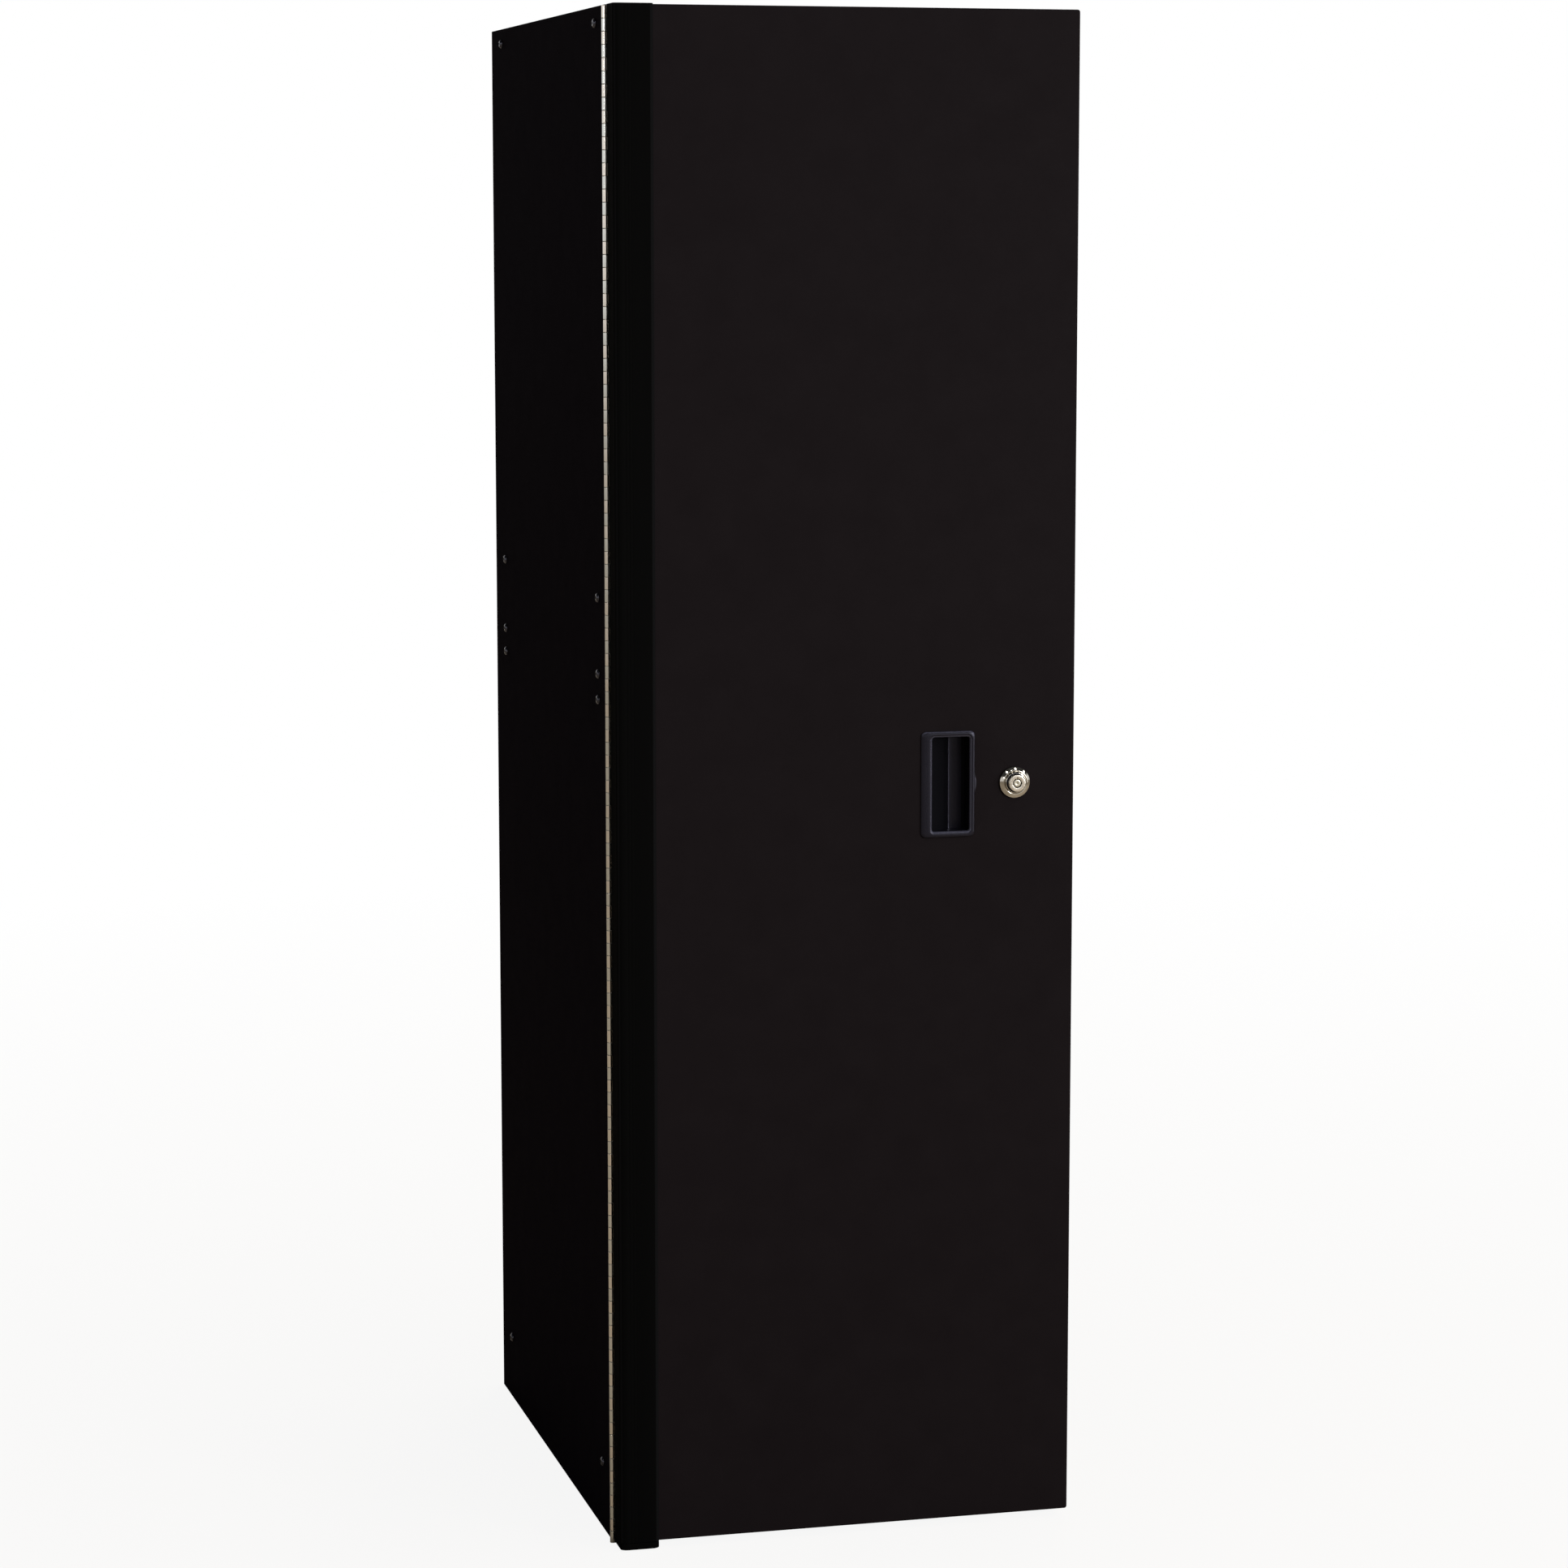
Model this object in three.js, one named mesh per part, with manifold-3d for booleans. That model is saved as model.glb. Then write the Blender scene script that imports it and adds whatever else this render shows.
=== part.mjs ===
// A tall steel side locker for a tool chest: a welded sheet-steel cabinet with three shelves,
// closed by one full-height door on a continuous hinge, with a flush cup pull and a key lock.
// Millimetres, +Z up. The door faces -Y and hangs on the left, at -X.

import * as THREE from "three";
import { mergeVertices } from "three/addons/utils/BufferGeometryUtils.js";
import Module from "manifold-3d";

const wasm = await Module();
wasm.setup();

// Driving dimensions. Places are measured from the cabinet: x from the left side's outer face,
// y back from the front frame, z up from the floor.

// Clearance between pieces that sit against each other.
const FIT = 0.3;

// Cabinet of folded sheet.
const CABINET_WIDTH = 476.25;
const CABINET_DEPTH = 609.6;
const CABINET_HEIGHT = 1549.4;
const SHEET = 1.2;
const JAMB_WIDTH = 26;
const JAMB_HEM = 9;
const REAR_LIP = 18;
const HEADER_HEIGHT = 32;
const HEADER_RETURN = 12;
const TOP_REAR_LIP = 20;
const FLOOR_HEIGHT = 45;
const BASE_LIP = 22;
const BACK_LIFT = 2;

// Fixing points on both sides: two columns of five.
const FIXING_FRONT_INSET = 48;
const FIXING_REAR_INSET = 60;
const FIXING_DROPS = [16, 584, 661, 687];
const FIXING_LOWEST = 71.5;
const WELD_NUT_FLATS = 11;
const WELD_NUT_HEIGHT = 5;
const WELD_NUT_TURN = 0.37;
const SCREW_DIAMETER = 6;
const SCREW_LENGTH = 9;
const SCREW_HEAD_DIAMETER = 9.6;
const SCREW_HEAD_HEIGHT = 2.6;
const SCREW_HEAD_CROWN = 6.4;

// Slotted uprights, shelves and shelf clips.
const UPRIGHT_SHEET = 1.5;
const UPRIGHT_DEPTH = 14;
const UPRIGHT_CROWN = 34;
const UPRIGHT_FOOT = 12;
const UPRIGHT_TOP_CLEARANCE = 8;
const SLOT_WIDTH = 20;
const SLOT_HEIGHT = 5;
const SLOT_PITCH = 76.2;
const SLOT_START = 50;
const SHELF_SLOTS = { lower: 4, middle: 9, upper: 14 };
const SHELF_THICKNESS = 22;
const SHELF_HEM = 10;
const SHELF_SIDE_CLEARANCE = 1.5;
const SHELF_FRONT_SETBACK = 20;
const SHELF_REAR_CLEARANCE = 12;
const CLIP_SHEET = 2.5;
const CLIP_WIDTH = 12;
const CLIP_LEDGE = 14;
const CLIP_PLATE = 14;
const CLIP_HOOK = 6;

// Continuous hinge.
const KNUCKLE_DIAMETER = 5.6;
const KNUCKLE_LEAST_PITCH = 12.6;
const LEAF_SHEET = 1.27;
const LEAF_WIDTH = 23;
const PIN_CLEARANCE = 0.13;
const BARREL_OVERHANG = 1.4;
const HINGE_END_CLEARANCE = 0.8;

// Door: a pan of folded sheet with an inner panel, and a trim extrusion on its hinge edge.
const DOOR_THICKNESS = 27.4;
const DOOR_BOTTOM = 9;
const DOOR_TOP_DROP = 0.8;
const DOOR_LIP = 20;
const INNER_SHEET = 1;
const STIFFENER_WIDTH = 60;
const STIFFENER_FOOT = 15;
const STIFFENER_INSET = 250;
const TRIM_WIDTH = 40;
const TRIM_SIDE_WALL = 1.8;
const TRIM_PROUD = 3;
const TRIM_CURVE_WIDTH = 8;
const TRIM_CURVE_DEPTH = 4.5;
const TRIM_BEVEL_WIDTH = 3.3;
const TRIM_BEVEL_DEPTH = 1.8;
const TRIM_BOTTOM = 1.5;
const BUMPER_DIAMETER = 12;
const BUMPER_END_DISTANCE = 70;

// Cup pull, moulded in one piece. Insets are from the door's lock edge.
const PULL_HEIGHT = 775.5;
const HANDLE_INSET = 134;
const HANDLE_WIDTH = 56.5;
const HANDLE_LENGTH = 108;
const HANDLE_PROUD = 3;
const HANDLE_CORNER = 5;
const HANDLE_HINGE_BAND = 11.5;
const HANDLE_LOCK_BAND = 5.5;
const HANDLE_END_BAND = 6;
const HANDLE_BUMP = 2.2;
const HANDLE_BUMP_LENGTH = 22;
const CUP_WALL = 1.8;
const CUP_REAR_CLEARANCE = 1.6;
const CUP_RAMP = 24;
const CUP_UNDERCUT = 1.6;

// Tubular key lock.
const LOCK_INSET = 63.5;
const COLLAR_DIAMETER = 32;
const COLLAR_SHOULDER = 25;
const COLLAR_EDGE = 1.2;
const COLLAR_PROUD = 4.5;
const LOCK_FLANGE_LIP = 1.35;
const LOCK_FLANGE_HEIGHT = 1.2;
const LOCK_HEAD_DIAMETER = 17.4;
const LOCK_HEAD_EDGE = 0.5;
const LOCK_HEAD_PROUD = 11;
const BARREL_DIAMETER = 18.8;
const LOCK_NUT_FLATS = 25;
const LOCK_NUT_HEIGHT = 4.5;
const BARREL_HOLE_MARGIN = 3.5;
const SPINDLE_DIAMETER = 8.8;
const SPINDLE_RECESS = 0.6;
const KEY_POST_DIAMETER = 7.4;
const KEYWAY_DEPTH = 6;
const CAM_SEAT_MARGIN = 0.3;
const CAM_STUD_DIAMETER = 4;
const CAM_STUD_END = 1;
const CAM_SHEET = 2;
const CAM_HUB_DIAMETER = 18;
const CAM_WIDTH = 13;
const CAM_REACH = 50;
const CAM_CLEARANCE = 1.6;
const CAM_NUT_FLATS = 10;
const CAM_NUT_HEIGHT = 4;

// Sides given to round faces, by how large they are.
const FINE_SIDES = 24;
const MEDIUM_SIDES = 12;
const COARSE_SIDES = 8;
const KNUCKLE_SIDES = 6;

// Places that follow from the dimensions.
const INSIDE_X = [SHEET + FIT, CABINET_WIDTH - SHEET - FIT];
const BETWEEN_JAMBS_X = [JAMB_WIDTH + FIT, CABINET_WIDTH - JAMB_WIDTH - FIT];
const UNDER_TOP = CABINET_HEIGHT - SHEET - FIT;
const BACK_PANEL_Y = [CABINET_DEPTH - 2 * SHEET - FIT, CABINET_DEPTH - SHEET - FIT];
const REAR_WALL_Y = [BACK_PANEL_Y[0] - FIT - SHEET, BACK_PANEL_Y[0] - FIT];
const BEHIND_JAMB = 2 * SHEET + FIT;

const FIXING_COLUMNS = [FIXING_FRONT_INSET, CABINET_DEPTH - FIXING_REAR_INSET];
const FIXING_LEVELS = [...FIXING_DROPS.map((drop) => CABINET_HEIGHT - drop), FIXING_LOWEST];
const WELD_NUT_RADIUS = WELD_NUT_FLATS / Math.sqrt(3);

const UPRIGHT_Z = [
  FLOOR_HEIGHT + FIT,
  CABINET_HEIGHT - FIXING_DROPS[0] - WELD_NUT_RADIUS - UPRIGHT_TOP_CLEARANCE,
];
const CROWN_FACE = SHEET + FIT + UPRIGHT_DEPTH;

const HINGE_X = -BARREL_OVERHANG;
const HINGE_Y = -(FIT + KNUCKLE_DIAMETER / 2);
const KNUCKLE_INSIDE = KNUCKLE_DIAMETER / 2 - LEAF_SHEET;
const PIN_RADIUS = KNUCKLE_INSIDE * Math.cos(Math.PI / KNUCKLE_SIDES) - PIN_CLEARANCE;
const HINGE_Z = [HINGE_END_CLEARANCE, CABINET_HEIGHT - HINGE_END_CLEARANCE];
const HINGE_LENGTH = HINGE_Z[1] - HINGE_Z[0];
const KNUCKLE_COUNT = Math.floor(HINGE_LENGTH / KNUCKLE_LEAST_PITCH);
const KNUCKLE_PITCH = HINGE_LENGTH / KNUCKLE_COUNT;

const DOOR_BACK = -(KNUCKLE_DIAMETER + 2 * FIT);
const DOOR_FRONT = DOOR_BACK - DOOR_THICKNESS;
const DOOR_X = [TRIM_SIDE_WALL + FIT, CABINET_WIDTH];
const DOOR_Z = [DOOR_BOTTOM, CABINET_HEIGHT - DOOR_TOP_DROP];
const INNER_PANEL_Y = [DOOR_BACK - SHEET - FIT - INNER_SHEET, DOOR_BACK - SHEET - FIT];
const TRIM_FRONT = DOOR_FRONT - TRIM_PROUD;

const HANDLE_X = CABINET_WIDTH - HANDLE_INSET;
const CUP_LIP_X = [
  HANDLE_X - HANDLE_WIDTH / 2 + HANDLE_HINGE_BAND,
  HANDLE_X + HANDLE_WIDTH / 2 - HANDLE_LOCK_BAND,
];
const CUP_Z = [
  PULL_HEIGHT - HANDLE_LENGTH / 2 + HANDLE_END_BAND,
  PULL_HEIGHT + HANDLE_LENGTH / 2 - HANDLE_END_BAND,
];
const CUP_FLOOR = INNER_PANEL_Y[0] - CUP_REAR_CLEARANCE - CUP_WALL;
const CUP_RAMP_END = CUP_LIP_X[0] + CUP_RAMP;
const CUP_INSIDE_END = CUP_LIP_X[1] + CUP_UNDERCUT;

const LOCK_X = CABINET_WIDTH - LOCK_INSET;
const BARREL_HOLE = BARREL_DIAMETER / 2 + FIT;
const LOCK_FLANGE_RADIUS = BARREL_DIAMETER / 2 + LOCK_FLANGE_LIP;
const COLLAR_FRONT = DOOR_FRONT - COLLAR_PROUD;
const LOCK_FACE = DOOR_FRONT - LOCK_HEAD_PROUD;
const CAM_Y = [2 * SHEET + CAM_CLEARANCE, 2 * SHEET + CAM_CLEARANCE + CAM_SHEET];
const CAM_SEAT_SIZE = (SPINDLE_DIAMETER - 2 * CAM_SEAT_MARGIN) / Math.SQRT2;
const CAM_NUT_Y = [CAM_Y[1] + FIT, CAM_Y[1] + FIT + CAM_NUT_HEIGHT];

// Solids from three.js geometry, joined and cut as closed bodies.

// Distance within which two corners of a geometry are one corner.
const SAME_CORNER = 1e-4;

function solid(geometry) {
  geometry.deleteAttribute("normal");
  geometry.deleteAttribute("uv");
  const merged = mergeVertices(geometry, SAME_CORNER);
  const corners = merged.index.array;
  const triangles = [];
  for (let first = 0; first < corners.length; first += 3) {
    const [a, b, c] = corners.slice(first, first + 3);
    if (a !== b && b !== c && c !== a) {
      triangles.push(a, b, c);
    }
  }
  const mesh = new wasm.Mesh({
    numProp: 3,
    vertProperties: merged.attributes.position.array,
    triVerts: new Uint32Array(triangles),
  });
  return new wasm.Manifold(mesh);
}

function surface(body) {
  const mesh = body.getMesh();
  const shared = new THREE.BufferGeometry();
  shared.setAttribute("position", new THREE.BufferAttribute(mesh.vertProperties, mesh.numProp));
  shared.setIndex(new THREE.BufferAttribute(mesh.triVerts, 1));
  const faceted = shared.toNonIndexed();
  faceted.computeVertexNormals();
  return faceted;
}

// How far a cutting body runs out past the face that it opens.
const CUT_PAST = 1;

function join(bodies) {
  return bodies.reduce((whole, body) => whole.add(body));
}

function cut(body, tools) {
  return body.subtract(join(tools));
}

// A range grown by a margin at both ends, or shrunk by a negative one.
function grown([low, high], margin) {
  return [low - margin, high + margin];
}

// A box whose corners take the ranges' own numbers, so that flush faces of two boxes agree.
function block(x, y, z) {
  const box = new THREE.BoxGeometry();
  const corners = box.attributes.position;
  for (let corner = 0; corner < corners.count; corner += 1) {
    const xEnd = corners.getX(corner) < 0 ? x[0] : x[1];
    const yEnd = corners.getY(corner) < 0 ? y[0] : y[1];
    const zEnd = corners.getZ(corner) < 0 ? z[0] : z[1];
    corners.setXYZ(corner, xEnd, yEnd, zEnd);
  }
  return solid(box);
}

function extrusion(shape, length, sides) {
  return new THREE.ExtrudeGeometry(shape, {
    depth: length,
    bevelEnabled: false,
    curveSegments: sides / 2,
  });
}

// A shape drawn in x and y, standing between two heights.
function uprightPrism(shape, [z0, z1], sides = COARSE_SIDES) {
  const geometry = extrusion(shape, z1 - z0, sides);
  geometry.translate(0, 0, z0);
  return solid(geometry);
}

// A shape drawn in x and z as seen from the front, running from y0 back to y1.
function frontPrism(shape, [y0, y1]) {
  const geometry = extrusion(shape, y1 - y0, COARSE_SIDES);
  geometry.rotateX(Math.PI / 2);
  geometry.translate(0, y1, 0);
  return solid(geometry);
}

// A shape drawn in y and z, running across from x0 to x1.
function acrossPrism(shape, [x0, x1]) {
  const geometry = extrusion(shape, x1 - x0, COARSE_SIDES);
  geometry.rotateX(Math.PI / 2);
  geometry.rotateZ(Math.PI / 2);
  geometry.translate(x0, 0, 0);
  return solid(geometry);
}

// A profile of [radius, y] points turned about an axis along y.
function turned(profile, x, z, sides) {
  const points = profile.map(([radius, y]) => new THREE.Vector2(radius, y));
  const geometry = new THREE.LatheGeometry(points, sides);
  geometry.translate(x, 0, z);
  return solid(geometry);
}

function polygon(points) {
  return new THREE.Shape(points.map(([a, b]) => new THREE.Vector2(a, b)));
}

function disc(radius, sides, a, b, turn = 0) {
  const corners = [];
  for (let corner = 0; corner < sides; corner += 1) {
    const angle = turn + (corner * 2 * Math.PI) / sides;
    corners.push([a + radius * Math.cos(angle), b + radius * Math.sin(angle)]);
  }
  return polygon(corners);
}

function hexagon(flats, a, b, turn = 0) {
  return disc(flats / Math.sqrt(3), 6, a, b, turn);
}

// A hole whose flats, not its corners, lie at the radius, so that a round piece clears them.
function clearHole(radius, sides, a, b, turn = 0) {
  return disc(radius / Math.cos(Math.PI / sides), sides, a, b, turn);
}

function roundedRectangle([a0, a1], [b0, b1], radius) {
  const shape = new THREE.Shape();
  shape.absarc(a1 - radius, b0 + radius, radius, -Math.PI / 2, 0);
  shape.absarc(a1 - radius, b1 - radius, radius, 0, Math.PI / 2);
  shape.absarc(a0 + radius, b1 - radius, radius, Math.PI / 2, Math.PI);
  shape.absarc(a0 + radius, b0 + radius, radius, Math.PI, (3 * Math.PI) / 2);
  return shape;
}

// Finishes: colour, roughness and metalness.
const FINISHES = {
  blackEnamel: [0x0a080b, 0.45, 0],
  doorEnamel: [0x181515, 0.4, 0],
  blackAnodised: [0x080808, 0.35, 0.3],
  blackPlastic: [0x1c1d24, 0.5, 0],
  chrome: [0xd6d2cc, 0.12, 1],
  zincPlate: [0xb4b0a6, 0.35, 1],
  galvanised: [0x8d9092, 0.5, 1],
  blackOxide: [0x151517, 0.4, 0.8],
  rubber: [0x101010, 0.8, 0],
};

// A group whose origin is a joint's axis, so that turning it moves what it holds.
function pivot(x, y, z) {
  const group = new THREE.Group();
  group.position.set(x, y, z);
  return group;
}

function place(group, name, body, finish) {
  const [colour, roughness, metalness] = FINISHES[finish];
  const material = new THREE.MeshStandardMaterial({ color: colour, roughness, metalness });
  const mesh = new THREE.Mesh(surface(body), material);
  mesh.name = name;
  mesh.position.copy(group.position).negate();
  group.add(mesh);
}

// Cabinet

// Each side mirrors the other: distances run inwards from the side's outer face.
const SIDES = {
  left: (inward) => inward,
  right: (inward) => CABINET_WIDTH - inward,
};

function sideRange(side, near, far) {
  const ends = [SIDES[side](near), SIDES[side](far)];
  return ends.sort((first, second) => first - second);
}

// An outline of [inward, other] points as a shape on its side of the cabinet.
function sideShape(side, outline) {
  return polygon(outline.map(([inward, other]) => [SIDES[side](inward), other]));
}

// A shape drawn in y and z, running across from one inward distance to another.
function sidePrism(side, shape, near, far) {
  return acrossPrism(shape, sideRange(side, near, far));
}

function fixingPoints() {
  return FIXING_COLUMNS.flatMap((y) => FIXING_LEVELS.map((z) => [y, z]));
}

// A side folded in at the front and the rear, with nuts welded on at whatever turn they lay.
function sidePanel(side) {
  const hemStart = JAMB_WIDTH - JAMB_HEM;
  const rearLip = CABINET_DEPTH - SHEET;
  const section = [
    [0, 0],
    [JAMB_WIDTH, 0],
    [JAMB_WIDTH, 2 * SHEET],
    [hemStart, 2 * SHEET],
    [hemStart, SHEET],
    [SHEET, SHEET],
    [SHEET, rearLip],
    [REAR_LIP, rearLip],
    [REAR_LIP, CABINET_DEPTH],
    [0, CABINET_DEPTH],
  ];
  const folded = uprightPrism(sideShape(side, section), [0, CABINET_HEIGHT]);
  const foldsX = sideRange(side, SHEET, JAMB_WIDTH + CUT_PAST);
  const aboveFolds = [UNDER_TOP, CABINET_HEIGHT + CUT_PAST];
  const nuts = [];
  const holes = [
    block(foldsX, [-CUT_PAST, BEHIND_JAMB], aboveFolds),
    block(foldsX, [rearLip - CUT_PAST, CABINET_DEPTH + CUT_PAST], aboveFolds),
  ];
  fixingPoints().forEach(([y, z], index) => {
    const turn = index * WELD_NUT_TURN;
    const nut = hexagon(WELD_NUT_FLATS, y, z, turn);
    const hole = clearHole(SCREW_DIAMETER / 2 + FIT, COARSE_SIDES, y, z, turn);
    nuts.push(sidePrism(side, nut, SHEET / 2, SHEET + WELD_NUT_HEIGHT));
    holes.push(sidePrism(side, hole, -CUT_PAST, SHEET + WELD_NUT_HEIGHT + CUT_PAST));
  });
  return cut(join([folded, ...nuts]), holes);
}

// The top sheet is folded down into the header in front, between the jambs, and a lip behind.
function topPanel() {
  const underside = CABINET_HEIGHT - SHEET;
  const header = CABINET_HEIGHT - HEADER_HEIGHT;
  const lip = CABINET_HEIGHT - TOP_REAR_LIP;
  const [lipFront, lipBack] = REAR_WALL_Y;
  const section = polygon([
    [0, CABINET_HEIGHT],
    [0, header],
    [HEADER_RETURN, header],
    [HEADER_RETURN, header + SHEET],
    [SHEET, header + SHEET],
    [SHEET, underside],
    [lipFront, underside],
    [lipFront, lip],
    [lipBack, lip],
    [lipBack, underside],
    [CABINET_DEPTH, underside],
    [CABINET_DEPTH, CABINET_HEIGHT],
  ]);
  const foldsY = grown([0, HEADER_RETURN], CUT_PAST);
  const foldsZ = [header - CUT_PAST, underside];
  return cut(acrossPrism(section, INSIDE_X), [
    block([0, BETWEEN_JAMBS_X[0]], foldsY, foldsZ),
    block([BETWEEN_JAMBS_X[1], CABINET_WIDTH], foldsY, foldsZ),
  ]);
}

function backPanel() {
  return block(INSIDE_X, BACK_PANEL_Y, [BACK_LIFT, UNDER_TOP]);
}

// The floor pan stands on lips that are folded inwards at the bottom of its four walls.
function bottomPanel() {
  const depth = [0, REAR_WALL_Y[1]];
  const height = [0, FLOOR_HEIGHT];
  const jambY = [-CUT_PAST, BEHIND_JAMB];
  const jambZ = grown(height, CUT_PAST);
  return cut(block(INSIDE_X, depth, height), [
    block([0, BETWEEN_JAMBS_X[0]], jambY, jambZ),
    block([BETWEEN_JAMBS_X[1], CABINET_WIDTH], jambY, jambZ),
    block(grown(INSIDE_X, -SHEET), grown(depth, -SHEET), grown(height, -SHEET)),
    block(grown(INSIDE_X, -BASE_LIP), grown(depth, -BASE_LIP), grown([0, SHEET], CUT_PAST)),
  ]);
}

// A dome-headed screw in a side's weld nut.
function sideScrew(side, y, z) {
  const outer = SIDES[side](0);
  const inward = Math.sign(SIDES[side](1) - outer);
  const headRadius = SCREW_HEAD_DIAMETER / 2;
  const shankRadius = SCREW_DIAMETER / 2;
  const profile = [
    [0, -FIT - SCREW_HEAD_HEIGHT],
    [SCREW_HEAD_CROWN / 2, -FIT - SCREW_HEAD_HEIGHT],
    [headRadius, -FIT - SCREW_HEAD_HEIGHT / 2],
    [headRadius, -FIT],
    [shankRadius, -FIT],
    [shankRadius, SCREW_LENGTH],
    [0, SCREW_LENGTH],
  ];
  const points = profile.map(([radius, along]) => new THREE.Vector2(radius, along));
  const geometry = new THREE.LatheGeometry(points, COARSE_SIDES);
  geometry.rotateZ((-inward * Math.PI) / 2);
  geometry.translate(outer, y, z);
  return solid(geometry);
}

// Bottom heights of the slots in an upright, from the lowest.
function slotHeights() {
  const heights = [];
  const top = UPRIGHT_Z[1] - SLOT_HEIGHT;
  for (let z = FLOOR_HEIGHT + SLOT_START; z + SLOT_HEIGHT < top; z += SLOT_PITCH) {
    heights.push(z);
  }
  return heights;
}

// A slot with pointed ends, in y and z.
function slotShape(y, bottom) {
  const half = SLOT_WIDTH / 2;
  const flat = half - SLOT_HEIGHT / 2;
  const middle = bottom + SLOT_HEIGHT / 2;
  const top = bottom + SLOT_HEIGHT;
  return polygon([
    [y - half, middle],
    [y - flat, bottom],
    [y + flat, bottom],
    [y + half, middle],
    [y + flat, top],
    [y - flat, top],
  ]);
}

// A hat-section upright on a side panel, with a column of slots in its crown.
function upright(side, y) {
  const foot = SHEET + FIT;
  const footTop = foot + UPRIGHT_SHEET;
  const crownBack = CROWN_FACE - UPRIGHT_SHEET;
  const half = UPRIGHT_CROWN / 2;
  const inside = half - UPRIGHT_SHEET;
  const section = [
    [foot, y - half - UPRIGHT_FOOT],
    [foot, y - inside],
    [crownBack, y - inside],
    [crownBack, y + inside],
    [foot, y + inside],
    [foot, y + half + UPRIGHT_FOOT],
    [footTop, y + half + UPRIGHT_FOOT],
    [footTop, y + half],
    [CROWN_FACE, y + half],
    [CROWN_FACE, y - half],
    [footTop, y - half],
    [footTop, y - half - UPRIGHT_FOOT],
  ];
  const slots = slotHeights().map((bottom) =>
    sidePrism(side, slotShape(y, bottom), crownBack - CUT_PAST, CROWN_FACE + CUT_PAST),
  );
  return cut(uprightPrism(sideShape(side, section), UPRIGHT_Z), slots);
}

// Height of a clip's ledge in a numbered slot.
function ledgeHeight(slot) {
  return slotHeights()[slot] + FIT + CLIP_SHEET;
}

// A clip hooks down behind the crown, and its ledge carries the shelf.
function shelfClip(side, y, slot) {
  const top = ledgeHeight(slot);
  const bottom = top - CLIP_SHEET;
  const behind = CROWN_FACE - UPRIGHT_SHEET - FIT;
  const front = CROWN_FACE + FIT;
  const outline = [
    [behind - CLIP_SHEET, top],
    [CROWN_FACE + CLIP_LEDGE, top],
    [CROWN_FACE + CLIP_LEDGE, bottom],
    [front + CLIP_SHEET, bottom],
    [front + CLIP_SHEET, bottom - CLIP_PLATE],
    [front, bottom - CLIP_PLATE],
    [front, bottom],
    [behind, bottom],
    [behind, bottom - CLIP_HOOK],
    [behind - CLIP_SHEET, bottom - CLIP_HOOK],
  ];
  return frontPrism(sideShape(side, outline), [y - CLIP_WIDTH / 2, y + CLIP_WIDTH / 2]);
}

// A shelf is a pan with its edges folded down and hemmed inwards.
function shelf(slot) {
  const bottom = ledgeHeight(slot) + FIT;
  const top = bottom + SHELF_THICKNESS;
  const near = CROWN_FACE + SHELF_SIDE_CLEARANCE;
  const x = [near, CABINET_WIDTH - near];
  const y = [SHELF_FRONT_SETBACK, REAR_WALL_Y[0] - SHELF_REAR_CLEARANCE];
  return cut(block(x, y, [bottom, top]), [
    block(grown(x, -SHEET), grown(y, -SHEET), [bottom + SHEET, top - SHEET]),
    block(grown(x, -SHELF_HEM), grown(y, -SHELF_HEM), grown([bottom, bottom + SHEET], CUT_PAST)),
  ]);
}

// Continuous hinge

// A leaf in section: a flat plate that runs into a knuckle around the pin.
// toward is 1 for a plate on the cabinet's side of the pin and -1 for one on the door's side.
function leafSection(toward) {
  const outer = KNUCKLE_DIAMETER / 2;
  const inner = KNUCKLE_INSIDE;
  const quarter = (toward * Math.PI) / 2;
  const meeting = toward * (2 * Math.PI + Math.asin(inner / outer));
  const shape = new THREE.Shape();
  shape.moveTo(HINGE_X + LEAF_WIDTH, HINGE_Y + toward * inner);
  shape.lineTo(HINGE_X + LEAF_WIDTH, HINGE_Y + toward * outer);
  shape.lineTo(HINGE_X, HINGE_Y + toward * outer);
  shape.absarc(HINGE_X, HINGE_Y, outer, quarter, meeting, toward < 0);
  shape.holes.push(disc(inner, KNUCKLE_SIDES, HINGE_X, HINGE_Y));
  return shape;
}

// Knuckles alternate along the pin: those of the other leaf are cleared away from this one.
function hingeLeaf(toward, firstCleared) {
  const reach = KNUCKLE_DIAMETER / 2 + FIT;
  const clearedX = [HINGE_X - 2 * reach, HINGE_X + reach];
  const clearedY = [HINGE_Y - 2 * reach, HINGE_Y + 2 * reach];
  const cleared = [];
  for (let knuckle = firstCleared; knuckle < KNUCKLE_COUNT; knuckle += 2) {
    const low = HINGE_Z[0] + knuckle * KNUCKLE_PITCH;
    cleared.push(block(clearedX, clearedY, grown([low, low + KNUCKLE_PITCH], FIT / 2)));
  }
  return cut(uprightPrism(leafSection(toward), HINGE_Z, KNUCKLE_SIDES), cleared);
}

function hingePin() {
  const pin = disc(PIN_RADIUS, COARSE_SIDES, HINGE_X, HINGE_Y);
  return uprightPrism(pin, HINGE_Z);
}

// Door

function barrelHole(margin) {
  return clearHole(BARREL_HOLE + margin, FINE_SIDES, LOCK_X, PULL_HEIGHT);
}

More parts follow.
